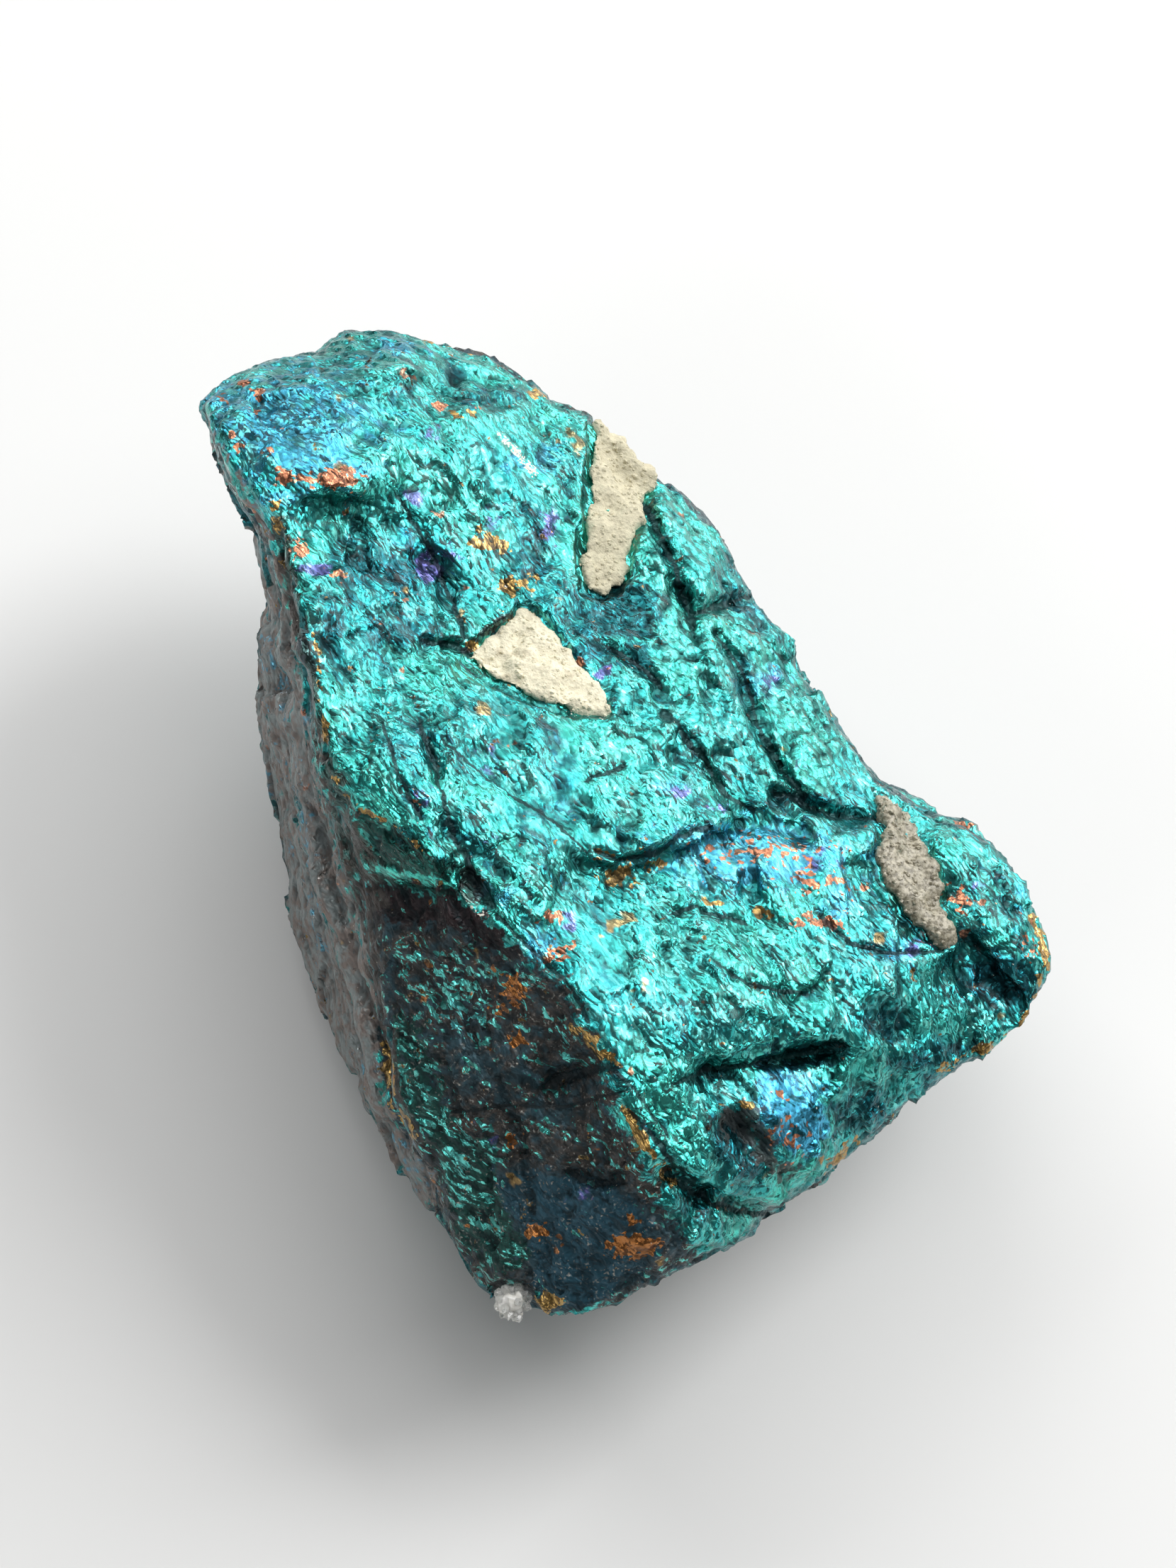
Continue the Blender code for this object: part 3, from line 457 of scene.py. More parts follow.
def lay_on(obj, target):
    """Move every vertex to the nearest point of a target, then round the result a little."""
    wrap = obj.modifiers.new("lay on", "SHRINKWRAP")
    wrap.target = target
    wrap.wrap_method = "NEAREST_SURFACEPOINT"
    smooth = obj.modifiers.new("rounding", "SMOOTH")
    smooth.factor = 0.5
    smooth.iterations = 1
    settle(obj)


def step_height(place):
    """Height of shallow steps, where layers of the ore broke off one after another."""
    along = GRAIN_DIRECTION * place.dot(GRAIN_DIRECTION)
    spot = (place - along * CHIP_STRETCH) / STEP_SIZE
    level = STEPS * noise.fractal(spot, 1.0, 2.2, 4)
    part = level - math.floor(level)
    rise = min(1, max(0, (part - 1 + STEP_LIP) / STEP_LIP))
    return STEP_RISE * (rise - part)


def hollowness(mesh, places, normals, rounds):
    """How far each vertex lies below the mean of its surroundings."""
    ends = np.empty(len(mesh.edges) * 2, int)
    mesh.edges.foreach_get("vertices", ends)
    first, second = ends.reshape(-1, 2).T
    count = np.bincount(ends, minlength=len(places))[:, None]
    mean = places.copy()
    for _ in range(rounds):
        total = np.zeros_like(mean)
        np.add.at(total, first, mean[second])
        np.add.at(total, second, mean[first])
        mean = total / count
    return np.sum((mean - places) * normals, axis=1)


def nearness(places, nodes, reach):
    """1 on the surface of any of some CAD nodes, and 0 further off than the reach."""
    gaps = np.full(len(places), reach)
    graph = bpy.context.evaluated_depsgraph_get()
    for node in nodes:
        tree = BVHTree.FromObject(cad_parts[node], graph)
        for number, place in enumerate(places):
            gap = tree.find_nearest(place, reach)[3]
            if gap is not None:
                gaps[number] = min(gaps[number], gap)
    return 1 - eased(gaps / reach)


def painted_marks(mesh, pixels, facing):
    """Store how strongly each kind of mark covers each vertex of the seen face."""
    for name in {**OVALS, **VEINS}:
        cover = oval_cover(pixels, OVALS.get(name, []))
        for half_width, path in VEINS.get(name, []):
            side, abreast = side_of_path(pixels, path)
            cover = np.maximum(cover, VEIN_COVER * abreast * eased(1.5 - abs(side) / (2 * half_width)))
        store(mesh, name, cover * facing)
    for name, outline in FACETS.items():
        inside = np.clip(0.5 + 0.5 * inside_of(pixels, outline) / REGION_SOFTNESS, 0, 1)
        store(mesh, name, inside * facing)


def cracks_cut(mesh, pixels, facing):
    """Store where each crack runs, and give how deep it cuts each vertex."""
    nearest = np.full(len(pixels), 9.0)
    here = np.zeros(len(pixels))
    cut = np.zeros(len(pixels))
    for half_width, depth, path in CRACKS:
        side, abreast = side_of_path(pixels, path)
        nearer = abs(side) / half_width < abs(nearest)
        nearest = np.where(nearer, side / half_width, nearest)
        here = np.where(nearer, abreast * eased(2 - abs(side) / CRACK_REACH), here)
        groove = eased(1.4 - abs(side) / (half_width + CRACK_EDGE))
        cut = np.maximum(cut, abreast * groove * depth * MM)
    store(mesh, "crack_side", nearest)
    store(mesh, "crack_here", here * facing)
    return cut * facing


def sunken_cut(pixels):
    """How deep the sunken facets lie."""
    cut = np.zeros(len(pixels))
    for name, depth in SUNKEN.items():
        cut = np.maximum(cut, depth * eased(inside_of(pixels, FACETS[name]) / SUNKEN_EDGE))
    return cut


def broken_relief(places):
    """Height of the steps and of the chips of every size at each vertex."""
    spots = [Vector(place) for place in places]
    relief = np.array([step_height(spot) for spot in spots])
    for size, tilt in CHIP_TILTS.items():
        relief += tilt * np.array([chipped(spot, size) for spot in spots])
    return relief


def shade_smooth(mesh):
    for polygon in mesh.polygons:
        polygon.use_smooth = True


def break_up(mesh):
    """Break the stone's mesh into chips and steps, cut its cracks and hollows, and store its marks."""
    places, normals = vertex_rows(mesh, "co"), vertex_rows(mesh, "normal")
    pixels = pixels_of(places)
    turned_to_eye = normals @ np.array(TOWARD_EYE)
    facing = eased(4 * turned_to_eye)
    store(mesh, "facing", facing)
    store(mesh, "steep", 1 - eased((turned_to_eye - STEEP_TURN) / STEEP_FADE))
    painted_marks(mesh, pixels, facing)
    cut = np.maximum(cracks_cut(mesh, pixels, facing), sunken_cut(pixels) * facing)
    calm = np.clip(oval_cover(pixels, OVALS["calm"]), 0, 1) * facing
    filled = nearness(places, POCKETED, POCKET_EDGE)
    relief = broken_relief(places) * (1 - CALM_PART * calm) * (1 - filled) - POCKET_SINK * filled
    relief *= eased(places[:, 2] / FOOT_HEIGHT)
    moved = places + normals * relief[:, None] - cut[:, None] * np.array(TOWARD_EYE)
    moved[:, 2] = np.maximum(moved[:, 2], 0)
    mesh.vertices.foreach_set("co", moved.ravel())
    mesh.update()
    normals = vertex_rows(mesh, "normal")
    # How hollow each vertex lies, kept for painted shade in the hollows.
    hollow = sum(hollowness(mesh, moved, normals, rounds) for rounds in HOLLOW_ROUNDS) / HOLLOW_DEPTH
    store(mesh, "hollow", np.clip(hollow, 0, 2) * (1 - filled))
    shade_smooth(mesh)


def refined_ore():
    """The stone, laid on the CAD solids and then broken up."""
    solids = merged_copy("solids", "ore", *POCKETED)
    obj = merged_copy("tarnished_stone", "ore", *POCKETED)
    regrid(obj, ORE_GRID)
    refine_seen_side(obj)
    lay_on(obj, solids)
    bpy.data.objects.remove(solids)
    break_up(obj.data)
    return obj


class Value:
    """A socket that can stand in a sum: each operator adds the Math node that works it out."""

    def __init__(self, recipe, socket):
        self.recipe, self.socket = recipe, socket

    def math(self, operation, *sockets):
        return self.recipe.add("ShaderNodeMath", {"operation": operation}, dict(enumerate(sockets)))

    def __add__(self, other):
        return self.math("ADD", self, other)

    def __sub__(self, other):
        return self.math("SUBTRACT", self, other)

    def __rsub__(self, other):
        return self.math("SUBTRACT", other, self)

    def __mul__(self, other):
        return self.math("MULTIPLY", self, other)

    __radd__, __rmul__ = __add__, __mul__

    def __abs__(self):
        return self.math("ABSOLUTE", self)

    def clamped(self):
        return self.recipe.add("ShaderNodeClamp", {}, {"Value": self})

    def step(self, low, high):
        """0 below low, 1 above high, eased between them."""
        limits = {"Value": self, "From Min": low, "From Max": high}
        return self.recipe.add("ShaderNodeMapRange", {"interpolation_type": "SMOOTHSTEP"}, limits)


class Recipe:
    """A material under making: add() makes one node and returns one of its outputs."""

    def __init__(self, name):
        self.material = bpy.data.materials.new(name)
        self.material.use_nodes = True
        self.tree = self.material.node_tree
        self.tree.nodes.clear()

    def add(self, kind, settings, sockets, output=0):
        node = self.tree.nodes.new(kind)
        for name, setting in settings.items():
            setattr(node, name, setting)
        for name, value in sockets.items():
            socket = node.inputs[name]
            if isinstance(value, Value):
                self.tree.links.new(value.socket, socket)
            elif socket.type == "RGBA":
                socket.default_value = (*value, 1)
            else:
                socket.default_value = value
        return Value(self, node.outputs[output])

    def millimetres(self):
        """Object coordinates in millimetres."""
        return self.scaled(self.add("ShaderNodeTexCoord", {}, {}, "Object"), 1 / MM)

    def noise(self, place, size, detail=2.0, output="Fac"):
        sockets = {"Vector": place, "Scale": 1 / size, "Detail": detail, "Roughness": 0.55}
        return self.add("ShaderNodeTexNoise", {}, sockets, output)

    def attribute(self, name):
        return self.add("ShaderNodeAttribute", {"attribute_name": name}, {}, "Fac")

    def blend(self, amount, first, second):
        return self.add("ShaderNodeMix", {"data_type": "RGBA"}, {0: amount, 6: first, 7: second}, 2)

    def scaled(self, vector, factor):
        return self.add("ShaderNodeVectorMath", {"operation": "SCALE"}, {0: vector, "Scale": factor})

    def combined(self, operation, first, second, output=0):
        settings = {"operation": operation}
        return self.add("ShaderNodeVectorMath", settings, {0: first, 1: second}, output)

    def channel(self, color, name):
        return self.add("ShaderNodeSeparateColor", {}, {"Color": color}, name)

    def stretched(self, place, direction, stretch):
        """Coordinates on which a pattern comes out longer along a direction."""
        turn = direction.to_track_quat("Z", "Y").to_euler()
        sockets = {"Vector": place, "Rotation": turn, "Scale": (1, 1, stretch)}
        return self.add("ShaderNodeMapping", {"vector_type": "TEXTURE"}, sockets)

    def crumpled(self, place, size, peak, tilt):
        """Foil-like facets of a size, each with a low peak and tipped its own way.

        Gives their height, in the unit of the size, and a colour by chance for each.
        """
        middle = self.add("ShaderNodeTexVoronoi", {}, {"Vector": place, "Scale": 1 / size}, "Position")
        chance = Value(self, middle.socket.node.outputs["Color"])
        distance = Value(self, middle.socket.node.outputs["Distance"])
        offset = self.combined("SUBTRACT", place, middle)
        tip = self.combined("SUBTRACT", chance, (0.5, 0.5, 0.5))
        tipped = self.combined("DOT_PRODUCT", offset, tip, "Value")
        return tipped * tilt - distance * (peak * size), chance

    def finish(self, sockets, height=None):
        """The main shader, with its relief in millimetres."""
        if height is not None:
            bump = {"Height": height, "Distance": 1 * MM, "Strength": 1.0}
            sockets["Normal"] = self.add("ShaderNodeBump", {}, bump)
        shader = self.add("ShaderNodeBsdfPrincipled", {}, sockets)
        output = self.tree.nodes.new("ShaderNodeOutputMaterial")
        self.tree.links.new(shader.socket, output.inputs["Surface"])
        return self.material


# Sizes of the tarnish's parts in millimetres, how far the grain and the streaks stretch them, and how
# far the grain wanders.
BIG_FACET = 0.75
SMALL_FACET = 0.21
PEBBLE = 0.60
RIDGE = 0.8
CLOUD = 5.0
SHADE = 1.7
FLECK = 0.7
STREAK = 0.34
DOT = 0.36
SPECK = 0.13
FINE = 0.10
HIDDEN_PATCH = 7.0
GOLD_PATCH = 2.4
COPPER_PATCH = 1.6
BEND = 1.4
BEND_REACH = 0.8
GRAIN_STRETCH = 2.2
STREAK_DIRECTION = RIGHT * 0.92 - UP * 0.38
STREAK_STRETCH = 5.0

# Its colours: the bright foil's, the patches', the dull facets', those of the grains, and the black of
# the painted shade in cracks, creases, hollows and the recess, which also darkens the slate's streaks.
# Pale mint also serves as painted highlight and deep teal as painted shade.
TEAL = (0.035, 0.46, 0.46)
SEA_GREEN = (0.075, 0.66, 0.54)
PALE_MINT = (0.20, 0.82, 0.70)
SKY_BLUE = (0.055, 0.45, 0.66)
AZURE_BLUE = (0.075, 0.46, 0.72)
VIOLET_BLUE = (0.16, 0.13, 0.46)
COPPER_RED = (0.54, 0.215, 0.115)
RUST = (0.40, 0.16, 0.045)
OLD_GOLD = (0.46, 0.29, 0.09)
DEEP_TEAL = (0.006, 0.10, 0.13)
DARK_GREEN = (0.008, 0.075, 0.062)
SLATE_BLUE = (0.032, 0.078, 0.100)
SLATE_BROWN = (0.062, 0.053, 0.047)
MAROON = (0.024, 0.013, 0.015)
PLANE_BLUE = (0.020, 0.085, 0.125)
SPECKLE = (0.36, 0.36, 0.33)
DRAB = (0.27, 0.31, 0.31)
DRAB_BROWN = (0.25, 0.21, 0.19)
BONE = (0.80, 0.77, 0.68)
SHADE_AND_STREAK_BLACK = (0.004, 0.014, 0.018)


class Tarnish(Recipe):
    """The ore's finish: bright foil, dull facets, patches of other colours, and painted shade in the
    cracks over all.
    """

    def __init__(self):
        super().__init__("peacock_tarnish")
        self.place = self.millimetres()
        wander = self.noise(self.place, BEND, 1.0, "Color")
        bend = self.combined("SUBTRACT", wander, (0.5, 0.5, 0.5))
        bent = self.combined("ADD", self.place, self.scaled(bend, BEND_REACH))
        streaked = self.stretched(bent, STREAK_DIRECTION, STREAK_STRETCH)
        self.grained = self.stretched(bent, GRAIN_DIRECTION, GRAIN_STRETCH)
        self.streak = self.noise(streaked, STREAK, 3.0)
        self.cloud = self.noise(self.place, CLOUD, 3.0)
        self.fleck = self.noise(self.place, FLECK, 3.0)
        self.speck = self.noise(self.place, SPECK, 0.0)
        self.dots = self.noise(self.place, DOT, 1.0)
        self.fine = self.noise(self.grained, FINE, 1.0)
        painted = {**OVALS, **VEINS, **FACETS}
        others = ("crack_side", "crack_here", "facing", "steep", "hollow")
        self.marks = {name: self.attribute(name) for name in (*painted, *others)}

    def region(self, name, low, high, break_up):
        """Where a mark lies, its edge broken up by flecks."""
        return (self.marks[name] + (self.fleck - 0.5) * break_up).step(low, high)

    def relief(self):
        """Crumpled facets of two sizes over each other, or round grains where the ore is pebbly."""
        ridge_look = {"Vector": self.grained, "Scale": 1 / RIDGE, "Detail": 3.0, "Roughness": 0.75,
                      "Offset": 0.9, "Gain": 1.6}
        ridges = self.add("ShaderNodeTexNoise", {"noise_type": "RIDGED_MULTIFRACTAL"}, ridge_look)
        big, self.big_chance = self.crumpled(self.grained, BIG_FACET, 0.12, 0.46)
        small, self.small_chance = self.crumpled(self.grained, SMALL_FACET, 0.30, 0.66)
        pebble, _ = self.crumpled(self.place, PEBBLE, 0.42, 0.30)
        pebbly = self.marks["pebbly"].step(0.3, 0.6) * 0.8
        # Painted shade goes in the creases between facets and between pebbles, and between the ridges
        # of a ridged noise.
        foil_creases = (small * -14.0 - 1.0).clamped() * 0.45 + (big * -6.0 - 0.9).clamped() * 0.3
        foil_creases = foil_creases + (1 - ridges.step(0.25, 0.8)) * 0.4
        pebble_creases = (pebble * -6.0 - 0.75).clamped() * 1.1
        self.creases = foil_creases + (pebble_creases - foil_creases) * pebbly
        foil = big + small
        calm = 1 - self.marks["calm"].clamped() * 0.75
        return (foil + (pebble + small * 0.3 - foil) * pebbly) * calm

    def foil_color(self):
        """Turquoise that runs to sea green and azure, with each facet a little lighter or darker."""
        big = self.channel(self.big_chance, "Red")
        small = self.channel(self.small_chance, "Green")
        hue = (self.cloud - 0.5) * 1.8 + (big - 0.5) * 0.35 + (small - 0.5) * 0.25 + 0.5
        mint = self.marks["mint"]
        foil = self.blend(hue.step(0.15, 0.60), SEA_GREEN, TEAL)
        foil = self.blend(hue.step(0.70, 1.10), foil, SKY_BLUE)
        foil = self.blend((mint * 0.9).clamped(), foil, SEA_GREEN)
        foil = self.blend(self.region("azure", 0.25, 0.7, 2.0) * 0.85, foil, AZURE_BLUE)
        # Painted highlight and shade: chips picked by chance are lightened toward pale mint, others
        # darkened toward deep teal, as are patches of a coarser shade noise.
        light = small * 0.6 + big * 0.4
        foil = self.blend(light.step(0.50, 0.85) * 0.6, foil, PALE_MINT)
        shade = (self.noise(self.grained, SHADE, 3.0) - mint * 0.08).step(0.50, 0.68)
        gloom = (shade * 0.7 + light.step(0.45, 0.10) * 0.6).clamped()
        foil = self.blend(gloom * (1 - self.marks["azure"].clamped() * 0.6), foil, DEEP_TEAL)
        # Painted shade: the deep ovals darken hollows and the shaded sides of ledges to deep teal.
        return self.blend(self.region("deep", 0.2, 0.9, 1.8) * 0.9, foil, DEEP_TEAL)

    def slate_color(self, foil, glint):
        """Slate with pale specks, in parts green, blue or maroon, with glints of foil."""
        brown = (self.cloud * 0.6 + self.fleck * 0.8).step(0.60, 0.80)
        slate = self.blend(brown, SLATE_BLUE, SLATE_BROWN)
        slate = self.blend(self.region("green_strip", 0.4, 0.6, 2.0), slate, DARK_GREEN)
        slate = self.blend(self.region("blue_plane", 0.4, 0.6, 1.6), slate, PLANE_BLUE)
        slate = self.blend(self.region("maroon", 0.4, 0.6, 1.6), slate, MAROON)
        specks = self.speck.step(0.62, 0.72) * self.fleck.step(0.44, 0.62) * (1 - self.marks["maroon"])
        slate = self.blend(specks * 0.8, slate, SPECKLE)
        slate = self.blend(self.streak.step(0.50, 0.38) * 0.6, slate, SHADE_AND_STREAK_BLACK)
        # The glints are foil showing through, lightened toward pale mint as a painted highlight.
        return self.blend(glint, slate, self.blend(0.45, foil, PALE_MINT))

    def drab_color(self):
        """The flank: grey, browner in places, with blots of azure."""
        drab = self.blend(self.fleck.step(0.40, 0.60), DRAB, DRAB_BROWN)
        blots = (self.streak * 0.4 + self.fleck + self.cloud * 0.9).step(1.24, 1.40)
        return self.blend(blots * 0.65, drab, SKY_BLUE)

    def striped_color(self):
        """The small plane under the lower lip, striped along the grain."""
        return self.blend(self.streak.step(0.36, 0.50), DEEP_TEAL, AZURE_BLUE)

    def glints(self):
        """Where foil shows through the dark facets."""
        mark = self.marks
        zone = mark["streaked"] * 0.13 + mark["green_strip"] * 0.08 + mark["green_facet"] * 0.10
        zone = zone - mark["blue_plane"] * 0.15 - mark["maroon"] * 0.14
        small = self.channel(self.small_chance, "Green")
        glint = self.cloud * 0.4 + self.fleck * 0.5 + self.streak * 1.3 + (small - 0.5) * 0.30
        return (glint + zone).step(1.27, 1.35)

    def dark_facets(self):
        """The dark facet of the seen side, and patches like it over the hidden side."""
        patchy = self.noise(self.place, HIDDEN_PATCH, 3.0) + (self.fleck - 0.5) * 0.6
        hidden = (1 - self.marks["facing"]) * patchy.step(0.47, 0.53)
        return (self.region("dark_facet", 0.40, 0.60, 2.0) + hidden).clamped()

    def facet_colors(self, foil, glint, facet, flank, hole):
        """The foil's colour, with the colour of each dull facet and of the violet blots over it."""
        lit = self.region("mint", 0.30, 0.60, 2.0)
        green = self.region("green_facet", 0.40, 0.60, 2.0) * (1 - lit)
        # Painted shade: faces that turn away from the eye darken toward deep teal, except on the
        # flank.
        color = self.blend(self.marks["steep"] * (1 - flank) * 0.75, foil, DEEP_TEAL)
        # The seen dark facet's slate: partly its own tarnish, partly painted shade.
        color = self.blend(facet, color, self.slate_color(foil, glint))
        color = self.blend(green * (1 - glint * 0.8), color, DARK_GREEN)
        color = self.blend(flank, color, self.drab_color())
        color = self.blend(self.region("rim", 0.40, 0.60, 2.0) * 0.85, color, SLATE_BROWN)
        color = self.blend(self.region("striped", 0.4, 0.6, 0.8), color, self.striped_color())
        color = self.blend(hole * 0.85, color, SLATE_BROWN)
        return self.blend(self.region("violet", 0.40, 0.75, 2.0) * 0.85, color, VIOLET_BLUE)

    def metal_patches(self):
        """Where gold and copper show: at their marks, and in a few spots all over the stone."""
        elsewhere = self.combined("ADD", self.place, (40, 7, 3))
        wild_gold = self.noise(self.place, GOLD_PATCH, 3.0).step(0.69, 0.73) * 0.8
        wild_copper = self.noise(elsewhere, COPPER_PATCH, 3.0).step(0.70, 0.73) * 0.85
        dotted = self.marks["copper"] + (self.dots - 0.5) * 1.9 + (self.fleck - 0.5) * 0.9
        gold = (wild_gold + self.region("gold", 0.60, 0.72, 3.2)).clamped()
        copper = (wild_copper + dotted.step(0.60, 0.70)).clamped()
        return gold, copper

    def pale_grains(self):
        """Where bone-white grains show along the pale scratches."""
        grains = self.marks["pale"] * 1.4 + (self.speck - 0.5) * 2.0 + (self.fleck - 0.5) * 1.4
        return grains.step(0.75, 0.95)

    def crack_lines(self):
        """Where the cracks' painted shade runs, a little ragged."""
        beside = abs(self.marks["crack_side"] + (self.fleck - 0.5) * 5.0)
        return (1 - beside.step(0.5, 1.4)) * self.marks["crack_here"]

    def material_of_ore(self):
        """All of the finish: its facets, its metal patches over them, and painted shade in its cracks,
        creases, hollows and recess over all.
        """
        height = self.relief()
        glint = self.glints()
        facet = self.dark_facets()
        flank = self.region("flank", 0.40, 0.60, 2.0)
        hole = self.region("hollow_mark", 0.4, 0.6, 2.4)
        # Painted shadow in the recess under the lower lip.
        recess = self.region("recess", 0.40, 0.60, 2.2) * 0.9
        gold, copper = self.metal_patches()
        pale = self.pale_grains()
        crack = self.crack_lines()
        creases = self.creases * (1 - flank * 0.7)
        # Painted shade: black in the hollows, cracks, creases and recess, but not on the pale grains.
        dark = (self.marks["hollow"] * 0.30 + crack + creases + recess).clamped() * (1 - pale)
        dull = (facet + flank + hole).clamped() * (1 - glint) * (1 - (gold + copper).clamped())

        color = self.facet_colors(self.foil_color(), glint, facet, flank, hole)
        color = self.blend(gold, color, OLD_GOLD)
        color = self.blend(copper, color, self.blend(facet, COPPER_RED, RUST))
        color = self.blend(pale, color, BONE)
        color = self.blend(dark * 0.9, color, SHADE_AND_STREAK_BLACK)
        rough = 0.22 + (self.fine - 0.5) * 0.16 + dull * 0.25 + pale * 0.4 + dark * 0.2
        rough = rough + self.marks["calm"] * 0.12
        metal = (0.96 - dull * 0.45 - crack * 0.4) * (1 - pale)
        coat = 0.34 - dark * 0.34 - dull * 0.24
        sockets = {"Base Color": color, "Roughness": rough.clamped(), "Metallic": metal.clamped(),
                   "Coat Weight": coat.clamped(), "Coat Roughness": 0.20}
        return self.finish(sockets, height)


ore = refined_ore()
ore.data.materials.clear()
ore.data.materials.append(Tarnish().material_of_ore())
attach(ore, "root")
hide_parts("ore")

# The gangue: two patches of cream host rock that the ore grew round, one in the hollow at the upper
# right of the face and one near its middle. Each is a crust of weathered grains that fills its hollow.
GANGUE_GRID = 0.16 * MM
PALE_RISE = 0.09 * MM
GRAIN_SIZE = 0.42 * MM
GRAIN_RELIEF = 0.14 * MM
LUMP_SIZE = 1.3 * MM
RAGGED_DEPTH = 0.60 * MM
GRAINS_PER_AREA = 9 / MM**2
HOST_GRAINS = (0.08 * MM, 0.16 * MM)
GRAIN_SINK = 0.6
CREAM = (0.80, 0.745, 0.565)
OLIVE_CREAM = (0.60, 0.555, 0.405)
OLIVE_SHADE = (0.50, 0.45, 0.32)
BROWN_STAIN = (0.42, 0.34, 0.22)


def swollen_patch(node, name, swell):
    """A patch that fills its hollow up to the ore, with a lumpy crust on top."""
    obj = merged_copy(name, node)
    regrid(obj, GANGUE_GRID)
    mesh = obj.data
    places, normals = vertex_rows(mesh, "co"), vertex_rows(mesh, "normal")
    upward = normals @ np.array(TOWARD_EYE)
    top = eased(3 * upward - 0.6)
    sideways = normals - upward[:, None] * np.array(TOWARD_EYE)
    spots = [Vector(place) for place in places]
    lumps = np.array([0.5 - noise.voronoi(spot / GRAIN_SIZE)[0][0] for spot in spots])
    broad = np.array([noise.noise(spot / LUMP_SIZE) for spot in spots])
    ragged = np.array([noise.fractal(spot / LUMP_SIZE, 1.0, 2.0, 3) for spot in spots])
    rise = top * (PALE_RISE + GRAIN_RELIEF * (lumps + 1.6 * broad))
    spread = swell + RAGGED_DEPTH * ragged
    moved = places + sideways * spread[:, None] + rise[:, None] * np.array(TOWARD_EYE)
    mesh.vertices.foreach_set("co", moved.ravel())
    mesh.update()
    store(mesh, "top", top)
    shade_smooth(mesh)
    return obj


def grain_tree():
    """A node group that strews angular grains over a mesh, thickest where its attribute top is 1."""
    tree = bpy.data.node_groups.new("strewn_grains", "GeometryNodeTree")
    kinds = {"Geometry": "Geometry", "Grains per Area": "Float", "Smallest": "Float",
             "Largest": "Float", "Sink": "Float", "Seed": "Int", "Material": "Material"}
    inputs = {}
    for name, kind in kinds.items():
        item = tree.interface.new_socket(name, in_out="INPUT", socket_type="NodeSocket" + kind)
        inputs[name] = item.identifier
    tree.interface.new_socket("Geometry", in_out="OUTPUT", socket_type="NodeSocketGeometry")

    def add(kind, settings, sockets):
        node = tree.nodes.new(kind)
        for name, setting in settings.items():
            setattr(node, name, setting)
        for name, value in sockets.items():
            if isinstance(value, bpy.types.NodeSocket):
                tree.links.new(value, node.inputs[name])
            else:
                node.inputs[name].default_value = value
        return node

    given = add("NodeGroupInput", {}, {}).outputs
    top = add("GeometryNodeInputNamedAttribute", {"data_type": "FLOAT"}, {"Name": "top"})
    density = add("ShaderNodeMath", {"operation": "MULTIPLY"},
                  {0: top.outputs["Attribute"], 1: given["Grains per Area"]})
    points = add("GeometryNodeDistributePointsOnFaces", {},
                 {"Mesh": given["Geometry"], "Density": density.outputs[0], "Seed": given["Seed"]})
    grain = add("GeometryNodeMeshIcoSphere", {}, {"Radius": 1.0, "Subdivisions": 1})
    turn = add("FunctionNodeRandomValue", {"data_type": "FLOAT_VECTOR"},
               {0: (0, 0, 0), 1: (math.tau, math.tau, math.tau), "Seed": 3})
    size = add("FunctionNodeRandomValue", {"data_type": "FLOAT"},
               {2: given["Smallest"], 3: given["Largest"], "Seed": 5})
    shape = add("FunctionNodeRandomValue", {"data_type": "FLOAT_VECTOR"},
                {0: (0.6, 0.6, 0.6), 1: (1.2, 1.2, 1.2), "Seed": 7})
    scale = add("ShaderNodeVectorMath", {"operation": "SCALE"},
                {0: shape.outputs[0], "Scale": size.outputs[1]})
    inward = add("ShaderNodeVectorMath", {"operation": "SCALE"},
                 {0: points.outputs["Normal"], "Scale": given["Sink"]})
    sunk = add("GeometryNodeSetPosition", {},
               {"Geometry": points.outputs["Points"], "Offset": inward.outputs[0]})
    strewn = add("GeometryNodeInstanceOnPoints", {},
                 {"Points": sunk.outputs["Geometry"], "Instance": grain.outputs["Mesh"],
                  "Rotation": turn.outputs[0], "Scale": scale.outputs[0]})
    real = add("GeometryNodeRealizeInstances", {}, {"Geometry": strewn.outputs["Instances"]})
    joined = add("GeometryNodeJoinGeometry", {}, {})
    tree.links.new(real.outputs[0], joined.inputs[0])
    tree.links.new(given["Geometry"], joined.inputs[0])
    painted = add("GeometryNodeSetMaterial", {},
                  {"Geometry": joined.outputs[0], "Material": given["Material"]})
    add("NodeGroupOutput", {}, {"Geometry": painted.outputs[0]})
    return tree, inputs


strewn_grains, grain_inputs = grain_tree()


def strew(obj, material, grains, seed):
    """Cover a patch with grains between two sizes, as one plain mesh."""
    smallest, largest = grains
    scatter = obj.modifiers.new("grains", "NODES")
    scatter.node_group = strewn_grains
    values = {"Grains per Area": GRAINS_PER_AREA, "Smallest": smallest, "Largest": largest,
              "Sink": -GRAIN_SINK * smallest, "Seed": seed, "Material": material}
    for name, value in values.items():
        scatter[grain_inputs[name]] = value
    settle(obj)


